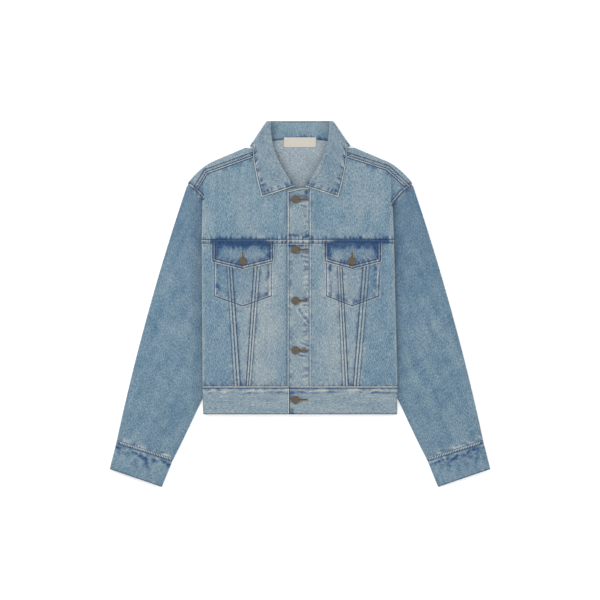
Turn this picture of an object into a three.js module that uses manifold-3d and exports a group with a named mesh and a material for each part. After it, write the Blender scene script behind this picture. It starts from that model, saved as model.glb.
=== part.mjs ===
// A denim jacket laid flat on a table, front up, with its sides and sleeves tucked under the body.
// Millimetres. X runs across the garment, Y from the hem to the collar, Z up from the table.
// Each cut piece of cloth is a wall of its own, offset inwards from one shared outer surface.
// In the comments, "out" is the distance from the centre front line, the same on both sides.
import * as THREE from "three";
import { mergeVertices } from "three/addons/utils/BufferGeometryUtils.js";
import Module from "manifold-3d";

const wasm = await Module();
wasm.setup();

// Cloth
const CLOTH = 1.2;
const DOUBLE = 2.2;
const SEAM = 0.3;
const LABEL_CLOTH = 0.8;

// The body, seen from above
const BODY_EDGE = {
  left: [{ y: -232, out: 203.5 }, { y: -173, out: 205 }, { y: 135, out: 206.5 }, { y: 225, out: 205 }],
  right: [{ y: -232, out: 204 }, { y: -173, out: 205 }, { y: 135, out: 197.5 }, { y: 225, out: 194 }],
};
const HEM_Y = -232;
const WAIST_Y = -173;
const CHEST_Y = 135;
const PLACKET_WIDTH = 45;
const PLACKET_EDGE = 25;
const PLACKET_TOP = 243;
const UNDERLAP_SEAM = 28;

// Heights above the table
const FRONT_Z = 13;
const HEM_DROP = 0.6;
const TIP_DROP = 2.7;
const LAP_RISE = 2.5;
const SLEEVE_FLAT = 3.4;
const BODY_LIFT = 3.8;
const HEM_LIFT = 1.5;
const SHOULDER_LIFT = 2;
const NECK_LIFT = 2.9;

// The tucked side: the fold ends where the armhole seam comes out from under it
const FOLD_TOP = { left: 221.5, right: 208 };
const FOLD_FADE = 268;
const FOLD_STEP = 5.5;
const DESCENT = 11;
const TUCK = 14;
const SIDE_SEAM_MOST = 187;

// Armhole, from the underarm to the shoulder tip, as a quadratic curve
const UNDERARM = [118, 20];
const ARMHOLE_PULL = [172, 215];
const SHOULDER_TIP = [237, 249];

// Neck, shoulder and yoke
const NECK_OUT = 92;
const NECK_TOP = 320;
const NECK_CURVE = 0.556;
const SHOULDER_START = [107, 331.5];
const SHOULDER_SLOPE = 0.42;
const SHOULDER_ROUND = 0.0075;
const SHOULDER_ROUND_FROM = 180;
const WING_FROM = 99;
const WING_TO = 235;
const BACK_NECK = { y: 345.5, sideOut: 91.7, sideY: 334, rise: 4.5 };
const YOKE_SEAM = [
  { y: 236, out: 218.66 },
  { y: 278.7, out: 195.3 },
  { y: 313, out: 105 },
  { y: 316, out: 97.1 },
];
const YOKE_CORNER = YOKE_SEAM[0];

// Collar, one half: where the roll line and the outer edge start and end
const COLLAR = { rollFront: [10.5, 248], rollBack: [70, 384.5], point: [80, 225], shoulder: [106, 331] };
const COLLAR_BULGE = 8;
const FALL_SAG = 9;
const LEAF_Z = 17;
const ROLL_RISE = 1.2;
// The collar's inner half, from the roll line to the neck seam
const STAND = {
  rollFront: [12, 246.5],
  rollBack: [67.5, 380.5],
  front: [15, 243.5],
  side: [96.5, 337],
  bulge: 22,
  topZ: 14.5,
  bottomZ: 2.9,
};

// Sleeve and cuff, one side: outer and inner edges, seen from above
const SLEEVE_END = { outer: [385.8, -292.3], inner: [267.8, -329.3] };
const CUFF_END = { outer: [399.8, -347], inner: [290.2, -384.5] };
const OUTER_BULGE = 8.5;
const INNER_BULGE = -7;
const SLEEVE_Z = 12;
const OUTER_EDGE_Z = 7.2;
const INNER_EDGE_Z = 6.4;

// Panel seams below the chest seam: distance out at the chest and at the waist
const SEAMS = {
  left: { inner: { chest: 85, waist: 108 }, outer: { chest: 153, waist: 131 } },
  right: { inner: { chest: 81, waist: 96 }, outer: { chest: 145, waist: 118 } },
};
// Pocket flaps and pocket bags: distance out, and heights
const POCKETS = {
  left: { from: 54.5, to: 186, centre: 120 },
  right: { from: 50, to: 172, centre: 109.5 },
};
const FLAP = { top: 129, corner: 88, point: 72 };
const BAG = { inset: 6, top: 129, corner: 17, point: -4 };

// Buttons: one row down the placket, and one on each flap
const BUTTON = { radius: 8.5, rim: 1.2, dome: 2.6, height: 3.2 };
const BUTTON_X = -9.7;
const BUTTON_YS = [220, 114, 7, -97, -201];
const FLAP_BUTTON_Y = 90;

const LABEL = { halfWidth: 34, low: 329, high: 350 };

const DENIM = new THREE.MeshStandardMaterial({ color: 0x8aa5ba, roughness: 0.95, metalness: 0 });
const DENIM_BAND = new THREE.MeshStandardMaterial({ color: 0x7f9cb6, roughness: 0.95, metalness: 0 });
const POCKETING = new THREE.MeshStandardMaterial({ color: 0xcfd3d2, roughness: 1, metalness: 0 });
const BRASS = new THREE.MeshStandardMaterial({ color: 0x7d6a57, roughness: 0.45, metalness: 0.8 });
const COTTON = new THREE.MeshStandardMaterial({ color: 0xe0d8cb, roughness: 0.9, metalness: 0 });

const jacket = new THREE.Group();

const mix = (a, b, t) => a + (b - a) * t;
const mixPoint = (a, b, t) => [mix(a[0], b[0], t), mix(a[1], b[1], t)];
const clamp = (x) => Math.min(1, Math.max(0, x));
const smooth = (x) => clamp(x) ** 2 * (3 - 2 * clamp(x));
const steps = (from, to, count) => Array.from({ length: count + 1 }, (_, i) => mix(from, to, i / count));
const hump = (t) => 4 * t * (1 - t);

// A closed solid from an outer and an inner grid of points. A ring grid closes on itself across its rows.
function solid(outer, inner, ring = false) {
  const rows = outer.length;
  const columns = outer[0].length;
  const points = [...outer.flat(), ...inner.flat()];
  const at = (layer, i, j) => layer * rows * columns + i * columns + (j % columns);
  const index = [];
  const quad = (a, b, c, d) => index.push(a, b, c, a, c, d);
  for (let i = 0; i < rows - 1; i++) {
    for (let j = 0; j < (ring ? columns : columns - 1); j++) {
      quad(at(0, i, j), at(0, i, j + 1), at(0, i + 1, j + 1), at(0, i + 1, j));
      quad(at(1, i, j), at(1, i + 1, j), at(1, i + 1, j + 1), at(1, i, j + 1));
    }
    if (!ring) {
      quad(at(0, i, 0), at(0, i + 1, 0), at(1, i + 1, 0), at(1, i, 0));
      const last = columns - 1;
      quad(at(0, i, last), at(1, i, last), at(1, i + 1, last), at(0, i + 1, last));
    }
  }
  for (let j = 0; j < (ring ? columns : columns - 1); j++) {
    const end = rows - 1;
    quad(at(0, 0, j), at(1, 0, j), at(1, 0, j + 1), at(0, 0, j + 1));
    quad(at(0, end, j), at(0, end, j + 1), at(1, end, j + 1), at(1, end, j));
  }
  const geometry = new THREE.BufferGeometry();
  geometry.setAttribute("position", new THREE.Float32BufferAttribute(points.flatMap((p) => p.toArray()), 3));
  geometry.setIndex(volume(points, index) < 0 ? index.reverse() : index);
  return geometry;
}

function volume(points, index) {
  let sum = 0;
  for (let i = 0; i < index.length; i += 3) {
    const [a, b, c] = [points[index[i]], points[index[i + 1]], points[index[i + 2]]];
    sum += a.dot(b.clone().cross(c)) / 6;
  }
  return sum;
}

// The wall over a patch of a surface. Each grid entry is a pair of the surface's own coordinates.
// It lies from "out" above the surface down through its thickness; "up" tells which way is out.
function wall(surface, grid, { thickness = CLOTH, out = 0, up = 1, ring = false } = {}) {
  const normal = (u, v) => {
    const d = 0.05;
    const du = surface(u + d, v).sub(surface(u - d, v));
    const dv = surface(u, v + d).sub(surface(u, v - d));
    return du.cross(dv).normalize().multiplyScalar(up);
  };
  const shifted = (by) => grid.map((row) => row.map(([u, v]) => surface(u, v).addScaledVector(normal(u, v), by)));
  return solid(shifted(out), shifted(out - thickness), ring);
}

function unite(geometries) {
  const solids = geometries.map((geometry) => {
    const merged = mergeVertices(geometry, 1e-4);
    const vertProperties = merged.attributes.position.array;
    return new wasm.Manifold(new wasm.Mesh({ numProp: 3, vertProperties, triVerts: merged.index.array }));
  });
  const made = solids.reduce((a, b) => a.add(b)).getMesh();
  const geometry = new THREE.BufferGeometry();
  geometry.setAttribute("position", new THREE.BufferAttribute(made.vertProperties, 3));
  geometry.setIndex(new THREE.BufferAttribute(made.triVerts, 1));
  return geometry;
}

function piece(name, geometry, material) {
  const mesh = new THREE.Mesh(geometry, material);
  mesh.name = name;
  jacket.add(mesh);
  return mesh;
}

const isRight = (side) => side > 0;
const label = (side) => (isRight(side) ? "right" : "left");
const foldTop = (side) => FOLD_TOP[label(side)];
const bodyHalf = (side, y) => lookup(BODY_EDGE[label(side)], "y", "out", y);

// Lines of the pattern, each as the distance out at a given Y or the other way round

function armhole(t) {
  const s = 1 - t;
  const along = (k) => s * s * UNDERARM[k] + 2 * s * t * ARMHOLE_PULL[k] + t * t * SHOULDER_TIP[k];
  return [along(0), along(1)];
}

// The armhole's curve parameter where coordinate k has the given value. Both coordinates only grow along it.
function armholeAt(k, value) {
  let low = 0;
  let high = 1;
  for (let i = 0; i < 40; i++) {
    const middle = (low + high) / 2;
    if (armhole(middle)[k] < value) low = middle;
    else high = middle;
  }
  return armhole(low);
}
const armholeOut = (y) => armholeAt(1, y)[0];
const armholeY = (out) => armholeAt(0, out)[1];

function sleeveInnerOut(y) {
  const t = clamp((UNDERARM[1] - y) / (UNDERARM[1] - SLEEVE_END.inner[1]));
  return mix(UNDERARM[0], SLEEVE_END.inner[0], t) + INNER_BULGE * hump(t);
}

// The side seam and, above the underarm, the armhole: where the tucked side of the front ends underneath
function tuckEdge(y) {
  if (y > UNDERARM[1]) return armholeOut(y);
  return mix(UNDERARM[0], Math.min(sleeveInnerOut(y) - TUCK, SIDE_SEAM_MOST), smooth((UNDERARM[1] - y) / 20));
}

const frontStart = (side) => (isRight(side) ? PLACKET_WIDTH - PLACKET_EDGE : UNDERLAP_SEAM) + SEAM / 2;

const neckOut = (side, y) => mix(frontStart(side), NECK_OUT + SEAM / 2,
  (Math.max(0, y - PLACKET_TOP) / (NECK_TOP - PLACKET_TOP)) ** NECK_CURVE);

function shoulderY(out) {
  const line = SHOULDER_START[1] - SHOULDER_SLOPE * (out - SHOULDER_START[0]);
  const rounded = SHOULDER_ROUND * Math.max(0, out - SHOULDER_ROUND_FROM) ** 2;
  const underCollar = 5.5 * (1 - smooth((out - SHOULDER_START[0] + 3) / 12));
  return line - rounded - underCollar;
}

// Linear lookup in a table with named columns
function lookup(table, from, to, value) {
  const i = Math.max(1, table.findIndex((row, k) => k > 0 && (value - table[k - 1][from]) * (value - row[from]) <= 0));
  const [a, b] = [table[i - 1], table[i]];
  return mix(a[to], b[to], (value - a[from]) / (b[from] - a[from]));
}
const yokeEdgeOut = (y) => (y <= YOKE_CORNER.y ? armholeOut(y) : lookup(YOKE_SEAM, "y", "out", y));

function yokeSeamY(out) {
  return out > YOKE_CORNER.out ? armholeY(out) : lookup(YOKE_SEAM, "out", "y", out);
}

// Heights

const bodyLift = (side, y) => mix(BODY_LIFT, HEM_LIFT, smooth((-190 - y) / 42))
  + SHOULDER_LIFT * smooth((y - foldTop(side) + 41.5) / 25);
const backZ = (out, y) => NECK_LIFT * smooth((y - 295) / 22) * (1 - smooth((out - 108) / 20));

function frontZ(side, out, y) {
  const hem = HEM_DROP * smooth((-100 - y) / 130);
  const tip = TIP_DROP * smooth((out - 150) / 90) * smooth((y - 225) / 30);
  const lap = isRight(side) ? LAP_RISE * (1 - smooth((out - 16) / 34)) * smooth((242 - y) / 18) : 0;
  if (y <= foldTop(side)) return FRONT_Z - hem - tip + lap;
  const fade = smooth((FOLD_FADE - y) / (FOLD_FADE - foldTop(side)));
  const step = FOLD_STEP * fade * smooth((out - bodyHalf(side, y) + 4) / 9);
  return FRONT_Z - hem - tip + lap - step;
}

const foldRadius = (side, y) => (frontZ(side, bodyHalf(side, y) - 5, y) - bodyLift(side, y)) / 2;
const foldTurn = (side, y) => Math.PI * (1 - (2 / 3) * smooth((y - foldTop(side) + 16.5) / 16.5));

// The front of the body as one surface: across the front, round the fold at the side and back underneath.
// Its coordinates are the distance along the cloth from the centre front, and Y.
function frontSurface(side) {
  return (along, y) => {
    const radius = foldRadius(side, y);
    const flat = bodyHalf(side, y) - radius;
    if (along <= flat || y >= foldTop(side)) return new THREE.Vector3(side * along, y, frontZ(side, along, y));
    const turn = Math.min((along - flat) / radius, foldTurn(side, y));
    const under = along - flat - radius * turn;
    const out = flat + radius * Math.sin(turn) + under * Math.cos(turn);
    const z = frontZ(side, flat, y) - radius * (1 - Math.cos(turn));
    if (under <= 0) return new THREE.Vector3(side * out, y, z);
    const landed = smooth((UNDERARM[1] - y) / 20) * (1 - smooth((out - tuckEdge(y)) / DESCENT));
    return new THREE.Vector3(side * out, y, z * (1 - landed));
  };
}

// Distances along the cloth at one height: the flat stretch, then round the fold to the edge underneath
function frontColumns(side, y, from, counts, to = Infinity) {
  if (y >= foldTop(side)) {
    const edge = yokeEdgeOut(y) - SEAM / 2;
    const turnAt = Math.min(bodyHalf(side, y) - 5, mix(from, edge, 0.93));
    return [...steps(from, turnAt, counts.flat), ...steps(turnAt, edge, counts.fold + counts.under).slice(1)];
  }
  const radius = foldRadius(side, y);
  const flat = bodyHalf(side, y) - radius;
  if (to < flat) return steps(from, to, counts.flat);
  const turned = flat + radius * foldTurn(side, y);
  const edge = turned + Math.max(0.2, flat - tuckEdge(y) - SEAM / 2);
  return [
    ...steps(from, flat, counts.flat),
    ...steps(flat, turned, counts.fold).slice(1),
    ...steps(turned, Math.max(turned, edge - DESCENT), counts.under - 2).slice(1),
    ...steps(Math.max(turned, edge - DESCENT), edge, 2).slice(1),
  ];
}

// Front pieces

function frontYoke(side) {
  const top = foldTop(side);
  const ys = [...steps(CHEST_Y + SEAM / 2, top - 28, 4), top - 18, top - 12, top - 6, top - 0.5,
    top + 0.5, mix(top, YOKE_CORNER.y, 0.5), YOKE_CORNER.y, PLACKET_TOP, 246, 252, 262, 270, 278.7, 290, 302, 313, 316];
  const rows = ys.map((y) => {
    return frontColumns(side, y, neckOut(side, y), { flat: 6, fold: 5, under: 3 }).map((along) => [along, y]);
  });
  piece(`front_yoke_${label(side)}`, wall(frontSurface(side), rows, { up: side }), DENIM);
}

// Heights of the rows of points below the chest seam, closest round the underarm
const LOWER_YS = [...steps(WAIST_Y + SEAM / 2, -10, 6), 0, 7, 14, 20, 30, 48, 68, 90, 112, CHEST_Y - SEAM / 2];

const seamOut = (seam, y) => mix(seam.waist, seam.chest, (y - WAIST_Y) / (CHEST_Y - WAIST_Y));

function lowerFront(side, name, from, to, counts, ys) {
  const rows = ys.map((y) =>
    frontColumns(side, y, from(y) + SEAM / 2, counts, to(y) - SEAM / 2).map((along) => [along, y]));
  piece(`front_${name}_${label(side)}`, wall(frontSurface(side), rows, { up: side }), DENIM);
}

function lowerFronts(side) {
  const { inner, outer } = SEAMS[label(side)];
  const start = () => frontStart(side) - SEAM / 2;
  const innerSeam = (y) => seamOut(inner, y);
  const outerSeam = (y) => seamOut(outer, y);
  const ys = steps(WAIST_Y + SEAM / 2, CHEST_Y - SEAM / 2, 8);
  lowerFront(side, "centre", start, innerSeam, { flat: 3 }, ys);
  lowerFront(side, "middle", innerSeam, outerSeam, { flat: 3 }, ys);
  lowerFront(side, "side", outerSeam, () => Infinity, { flat: 3, fold: 5, under: 5 }, LOWER_YS);
}

// A flat strip or flap over a stretch of the front, between two distances out, from one height line to another
function onFront(side, from, to, columns, low, high, rows, options) {
  const grid = steps(0, 1, rows).map((t) =>
    steps(from, to, columns).map((out) => [out, mix(low(out), high(out), t)]));
  return wall((out, y) => new THREE.Vector3(side * out, y, options.height(out, y)), grid, { up: side, ...options });
}

function plackets() {
  const low = () => WAIST_Y + SEAM / 2;
  const roundedTop = (out) => PLACKET_TOP - 6 * smooth((5 - out) / 30);
  const lapZ = (_, y) => frontZ(-1, 0, y) + LAP_RISE;
  piece("placket_right", onFront(1, -PLACKET_EDGE, PLACKET_WIDTH - PLACKET_EDGE - SEAM / 2, 5, low, roundedTop, 8,
    { thickness: DOUBLE, height: lapZ }), DENIM_BAND);
  const underZ = (_, y) => frontZ(-1, 0, y) - 0.2;
  piece("placket_left", onFront(-1, UNDERLAP_SEAM - PLACKET_WIDTH, UNDERLAP_SEAM - SEAM / 2, 3, low,
    () => PLACKET_TOP, 8, { thickness: CLOTH, height: underZ }), DENIM_BAND);
}

function pockets(side) {
  const { from, to, centre } = POCKETS[label(side)];
  const pointed = (corner, point) => (out) =>
    mix(corner, point, out < centre ? (out - from) / (centre - from) : (to - out) / (to - centre));
  const height = (out, y) => frontZ(side, out, y);
  piece(`pocket_flap_${label(side)}`, onFront(side, from, to, 8, pointed(FLAP.corner, FLAP.point), () => FLAP.top, 3,
    { thickness: DOUBLE, out: DOUBLE + SEAM, height }), DENIM_BAND);
  piece(`pocket_bag_${label(side)}`, onFront(side, from + BAG.inset, to - BAG.inset, 6, pointed(BAG.corner, BAG.point),
    () => BAG.top, 4, { thickness: 1, out: -CLOTH - SEAM, height }), POCKETING);
}

// Back pieces, on the table

function back() {
  const grid = LOWER_YS.map((y) => {
    const edge = tuckEdge(y) - SEAM / 2;
    return steps(-edge, edge, 8).map((x) => [x, y]);
  });
  piece("back", wall((x, y) => new THREE.Vector3(x, y, CLOTH), grid), DENIM);
}

function backNeckY(out) {
  const t = 1 - out / BACK_NECK.sideOut;
  return mix(BACK_NECK.sideY, BACK_NECK.y, t) + BACK_NECK.rise * hump(t);
}

// One shoulder of the back yoke: along the table, round the shoulder and down the front to the yoke seam
function yokeWing(side) {
  const surface = (out, along) => {
    const bottom = backZ(out, shoulderY(out) - 8);
    const radius = (frontZ(side, out, shoulderY(out) - 6) - bottom) / 2;
    const turnY = shoulderY(out) - radius;
    if (along <= 0) return new THREE.Vector3(side * out, turnY + along, backZ(out, turnY + along));
    const turn = Math.min(along / radius, Math.PI);
    const over = Math.max(0, along - radius * Math.PI);
    const y = turnY + radius * Math.sin(turn) - over;
    const z = bottom + radius * (1 - Math.cos(turn));
    return new THREE.Vector3(side * out, y, over > 0 ? z + frontZ(side, out, y) - frontZ(side, out, turnY) : z);
  };
  const outs = [WING_FROM, 106, 113, 122, 135, 148, 162, 178, 195.3, 205, 211, YOKE_CORNER.out, 227, WING_TO];
  const grid = outs.map((out) => {
    const radius = (frontZ(side, out, shoulderY(out) - 6) - backZ(out, shoulderY(out) - 8)) / 2;
    const turnY = shoulderY(out) - radius;
    const low = Math.max(CHEST_Y + SEAM / 2, out > UNDERARM[0] ? armholeY(out) + SEAM : 0);
    const strip = Math.max(0.3, turnY - yokeSeamY(out) - SEAM / 2);
    const half = radius * Math.PI;
    const stretches = [...steps(low - turnY, 0, 6), ...steps(0, half, 6).slice(1), ...steps(half, half + strip, 2).slice(1)];
    return stretches.map((along) => [out, along]);
  });
  return wall(surface, grid, { up: -side });
}

function backYoke() {
  const outs = [...steps(0, BACK_NECK.sideOut, 4), WING_FROM + 1];
  const columns = [...outs.slice(1).map((out) => -out).reverse(), ...outs];
  const topY = (out) => (out > BACK_NECK.sideOut ? shoulderY(out) - 1 : backNeckY(out) - SEAM);
  const grid = steps(0, 1, 9).map((t) => columns.map((x) => [x, mix(CHEST_Y + SEAM / 2, topY(Math.abs(x)), t)]));
  const centre = wall((x, y) => new THREE.Vector3(x, y, CLOTH + backZ(Math.abs(x), y)), grid);
  piece("back_yoke", unite([centre, yokeWing(-1), yokeWing(1)]), DENIM);
}

// Waistband: from the lapped end at the centre, round one side, across the back and round the other side
function waistband() {
  const surface = (side) => (along, y) => {
    const radius = foldRadius(side, y);
    const flat = bodyHalf(side, y) - radius;
    const edgeZ = frontZ(side, bodyHalf(side, y) - 5, y);
    const lap = (isRight(side) ? LAP_RISE : -0.1) * (1 - smooth((along - 16) / 34));
    if (along <= flat) return new THREE.Vector3(side * along, y, edgeZ + lap);
    const turn = Math.min((along - flat) / radius, Math.PI);
    const out = flat + radius * Math.sin(turn) - Math.max(0, along - flat - radius * Math.PI);
    const z = edgeZ - radius * (1 - Math.cos(turn));
    const landed = turn < Math.PI ? 0 : 1 - smooth((out - tuckEdge(y)) / DESCENT);
    return new THREE.Vector3(side * out, y, z * (1 - landed));
  };
  const half = (side, from) => {
    const columns = (y) => {
      const radius = foldRadius(side, y);
      const flat = bodyHalf(side, y) - radius;
      const turned = flat + radius * Math.PI;
      return [...steps(from, flat, 9), ...steps(flat, turned, 6).slice(1),
        ...steps(turned, turned + 24, 4).slice(1), ...steps(turned + 24, turned + flat, 3).slice(1)];
    };
    return wall(surface(side), steps(HEM_Y, WAIST_Y - SEAM / 2, 3).map((y) => columns(y).map((a) => [a, y])),
      { thickness: DOUBLE, up: side });
  };
  piece("waistband", unite([half(1, -PLACKET_EDGE), half(-1, UNDERLAP_SEAM - PLACKET_WIDTH)]), DENIM_BAND);
}

// Sleeve and cuff: flattened tubes, as rings across the sleeve from its outer edge to its inner edge.
// Each sleeve is cut as two panels. The front one turns over both edges, and the back one lies flat under it.

function sleeveLine(t) {
  const outer = mixPoint(SHOULDER_TIP, SLEEVE_END.outer, t);
  const inner = mixPoint(UNDERARM, SLEEVE_END.inner, t);
  outer[0] += OUTER_BULGE * hump(t);
  inner[0] += INNER_BULGE * hump(t);
  const bow = Math.max(0, 1 - t / 0.5) ** 2;
  return (f) => {
    const [out, y] = mixPoint(outer, inner, f);
    const [curveOut, curveY] = armhole(1 - f);
    const [chordOut, chordY] = mixPoint(SHOULDER_TIP, UNDERARM, f);
    return [out + bow * (curveOut - chordOut), y + bow * (curveY - chordY)];
  };
}

// How far the body lying on it presses the sleeve flat, from 0 to 1
const pressed = (side, out, y) =>
  smooth((bodyHalf(side, y) + 27 - out) / 24) * smooth((foldTop(side) + 14.5 - y) / 24);

function ring(side, line, depth, top) {
  const span = Math.hypot(line(1)[0] - line(0)[0], line(1)[1] - line(0)[1]);
  const topZ = (f) => {
    const [out, y] = line(f);
    const edge = mix(OUTER_EDGE_Z, INNER_EDGE_Z, f);
    const crown = edge + (top - edge) * Math.sin(Math.PI * clamp(f)) ** 0.6;
    return mix(crown, SLEEVE_FLAT, pressed(side, out, y));
  };
  const place = (f, z) => {
    const [out, y] = line(f);
    return new THREE.Vector3(side * out, y, z);
  };
  const radii = [topZ(0) / 2, topZ(1) / 2];
  const [first, last] = [radii[0] / span, 1 - radii[1] / span];
  const edge = (f, sign, radius, angle) => place(f + (sign * (radius - depth) * Math.cos(angle)) / span,
    radius + (radius - depth) * Math.sin(angle));
  const over = [
    place(first, depth),
    ...steps(-Math.PI / 2, Math.PI / 2, 5).slice(1, -1).map((angle) => edge(first, -1, radii[0], angle)),
    ...steps(first, last, 12).map((f) => place(f, mixEdges(f, first, last, topZ, radii) - depth)),
    ...steps(Math.PI / 2, -Math.PI / 2, 5).slice(1, -1).map((angle) => edge(last, 1, radii[1], angle)),
    place(last, depth),
  ];
  const under = (gap) => steps(last - gap / span, first + gap / span, 7).map((f) => place(f, depth));
  return { over, under: under(SEAM), whole: [...over, ...under(0).slice(1, -1)] };
}

// The top's height, eased so that it meets each rounded edge at twice that edge's radius
function mixEdges(f, first, last, topZ, radii) {
  const near = (distance) => smooth(distance / 0.06);
  const z = topZ(f);
  return mix(2 * radii[1], mix(2 * radii[0], z, near(f - first)), near(last - f));
}

function tube(side, lines, thickness, top, part) {
  const rings = (depth) => lines.map((line) => ring(side, line, depth, top)[part]);
  return solid(rings(0), rings(thickness), part === "whole");
}

function sleeve(side) {
  const ts = [0.0012, 0.03, 0.07, 0.12, 0.18, 0.25, 0.33, 0.42, 0.51, 0.6, 0.69, 0.78, 0.87, 0.94, 0.9994];
  const lines = ts.map(sleeveLine);
  piece(`sleeve_front_${label(side)}`, tube(side, lines, CLOTH, SLEEVE_Z, "over"), DENIM);
  piece(`sleeve_back_${label(side)}`, tube(side, lines, CLOTH, SLEEVE_Z, "under"), DENIM);
}

function cuff(side) {
  const lines = [0, 0.33, 0.67, 1].map((t) => {
    const outer = mixPoint(SLEEVE_END.outer, CUFF_END.outer, t);
    const inner = mixPoint(SLEEVE_END.inner, CUFF_END.inner, t);
    return (f) => mixPoint(outer, inner, f);
  });
  piece(`cuff_${label(side)}`, tube(side, lines, DOUBLE, SLEEVE_Z - 0.2, "whole"), DENIM_BAND);
}

// Collar: each band runs from one front end, over the shoulder, under the back neck and up to the other end.
// Its rows go from the roll line to its outer edge. At the shoulder it turns over a fold.
function collarBand({ roll, outer, topZ, bottomZ, thickness, curl, sag, bulges }) {
  const across = [0, 0.05, 0.17, 0.38, 0.6, 0.8, 1];
  const [rollFront, rollBack] = roll;
  const [outerFront, outerBack] = outer;
  const facingAt = (w) => {
    const slant = smooth(w * 2.5);
    const facing = new THREE.Vector2(rollBack[1] - outerBack[1], (outerBack[0] - rollBack[0]) * slant);
    return facing.normalize().toArray();
  };
  const row = (side, t, turn) => across.map((w) => {
    const [low, high] = [bottomZ, topZ(w)];
    const radius = (high - low) / 2;
    const facing = facingAt(w);
    const foldPoint = mixPoint(rollBack, outerBack, w).map((value, k) => value - facing[k] * radius);
    const frontPoint = mixPoint(rollFront, outerFront, w);
    const middlePoint = [0, mix(rollBack[1], outerBack[1] - sag, w)];
    const base = turn < Math.PI ? mixPoint(frontPoint, foldPoint, t) : mixPoint(foldPoint, middlePoint, t);
    if (turn === 0) base[0] += hump(t) * mix(bulges.roll, bulges.outer, w);
    if (turn === Math.PI) base[1] += hump(t) * bulges.back * w;
    const normal = new THREE.Vector3(side * facing[0] * Math.sin(turn), facing[1] * Math.sin(turn), Math.cos(turn));
    const centre = new THREE.Vector3(side * base[0], base[1], low + radius);
    const inset = curl * (1 - Math.sqrt(1 - (1 - clamp(w * 6)) ** 2));
    return { centre, normal, reach: radius - inset };
  });
  const half = (side) => [
    ...steps(0, 1, 7).map((t) => row(side, t, 0)),
    ...steps(0, Math.PI, 7).slice(1, -1).map((turn) => row(side, 1, turn)),
    ...steps(0, 1, 4).slice(0, side > 0 ? 4 : 5).map((t) => row(side, t, Math.PI)),
  ];
  const rows = [...half(-1), ...half(1).reverse()];
  const layer = (depth) => rows.map((cells) =>
    cells.map(({ centre, normal, reach }) => centre.clone().addScaledVector(normal, reach - depth)));
  return solid(layer(0), layer(thickness));
}

function collar() {
  const fall = collarBand({
    roll: [COLLAR.rollFront, COLLAR.rollBack],
    outer: [COLLAR.point, COLLAR.shoulder],
    topZ: (w) => LEAF_Z + ROLL_RISE * (1 - smooth(w * 1.4)),
    bottomZ: 0,
    thickness: DOUBLE,
    curl: 1.2,
    sag: FALL_SAG,
    bulges: { roll: COLLAR_BULGE, outer: 3, back: 0 },
  });
  piece("collar", fall, DENIM_BAND);
  const stand = collarBand({
    roll: [STAND.rollFront, STAND.rollBack],
    outer: [STAND.front, STAND.side],
    topZ: () => STAND.topZ,
    bottomZ: STAND.bottomZ,
    thickness: CLOTH,
    curl: 0,
    sag: STAND.side[1] - BACK_NECK.y,
    bulges: { roll: COLLAR_BULGE, outer: STAND.bulge, back: BACK_NECK.rise },
  });
  piece("collar_stand", stand, DENIM_BAND);
}

function buttonAt(name, x, y, z) {
  const { radius, rim, dome, height } = BUTTON;
  const profile = [[0, 0], [radius - 1.5, 0], [radius, 0.8], [radius, height - 0.8], [radius - 0.8, height],
    [radius - rim - 0.8, height - 0.5], [radius * 0.5, dome + 0.4], [0, dome + 0.6]];
  const lathe = new THREE.LatheGeometry(profile.map(([r, h]) => new THREE.Vector2(r, h)), 16);
  const mesh = piece(name, lathe, BRASS);
  mesh.rotation.x = Math.PI / 2;
  mesh.position.set(x, y, z);
}

function buttons() {
  BUTTON_YS.forEach((y, i) => buttonAt(`button_${i + 1}`, BUTTON_X, y, FRONT_Z + LAP_RISE + SEAM));
  for (const side of [-1, 1]) {
    const z = FRONT_Z + DOUBLE + 2 * SEAM;
    buttonAt(`flap_button_${label(side)}`, side * POCKETS[label(side)].centre, FLAP_BUTTON_Y, z);
  }
}

function neckLabel() {
  const { halfWidth, low, high } = LABEL;
  const grid = [low, high].map((y) => [-halfWidth, halfWidth].map((x) => [x, y]));
  const z = CLOTH + NECK_LIFT + SEAM + LABEL_CLOTH;
  piece("neck_label", wall((x, y) => new THREE.Vector3(x, y, z), grid, { thickness: LABEL_CLOTH }), COTTON);
}

for (const side of [-1, 1]) {
  frontYoke(side);
  lowerFronts(side);
  pockets(side);
  sleeve(side);
  cuff(side);
}
plackets();
back();
backYoke();
waistband();
collar();
buttons();
neckLabel();

export default jacket;
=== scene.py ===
# A light-wash denim jacket laid flat on a pale floor, seen from straight above.
# Lengths in the shape code are in millimetres, in the model's own frame, and become metres in the meshes.
# "out" is the distance from the centre front line, the same on both sides. side is -1 or 1.
import math

import bpy
import numpy as np
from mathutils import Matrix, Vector


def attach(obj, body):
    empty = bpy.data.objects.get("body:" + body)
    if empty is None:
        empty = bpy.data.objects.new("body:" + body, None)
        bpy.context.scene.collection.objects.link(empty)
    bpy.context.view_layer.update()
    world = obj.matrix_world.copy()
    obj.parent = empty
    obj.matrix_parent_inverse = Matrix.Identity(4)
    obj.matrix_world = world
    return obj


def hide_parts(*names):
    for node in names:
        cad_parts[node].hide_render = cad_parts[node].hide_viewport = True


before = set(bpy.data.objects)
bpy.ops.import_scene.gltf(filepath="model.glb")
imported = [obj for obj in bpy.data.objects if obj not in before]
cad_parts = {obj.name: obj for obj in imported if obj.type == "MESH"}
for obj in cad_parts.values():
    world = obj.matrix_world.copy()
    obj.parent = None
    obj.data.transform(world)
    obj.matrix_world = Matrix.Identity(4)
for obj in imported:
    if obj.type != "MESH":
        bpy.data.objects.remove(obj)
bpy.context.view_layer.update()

MM = 0.001
CLOTH = 1.2
DOUBLE = 2.2
SEAM = 0.3
SIDES = ((-1, "left"), (1, "right"))

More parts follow.
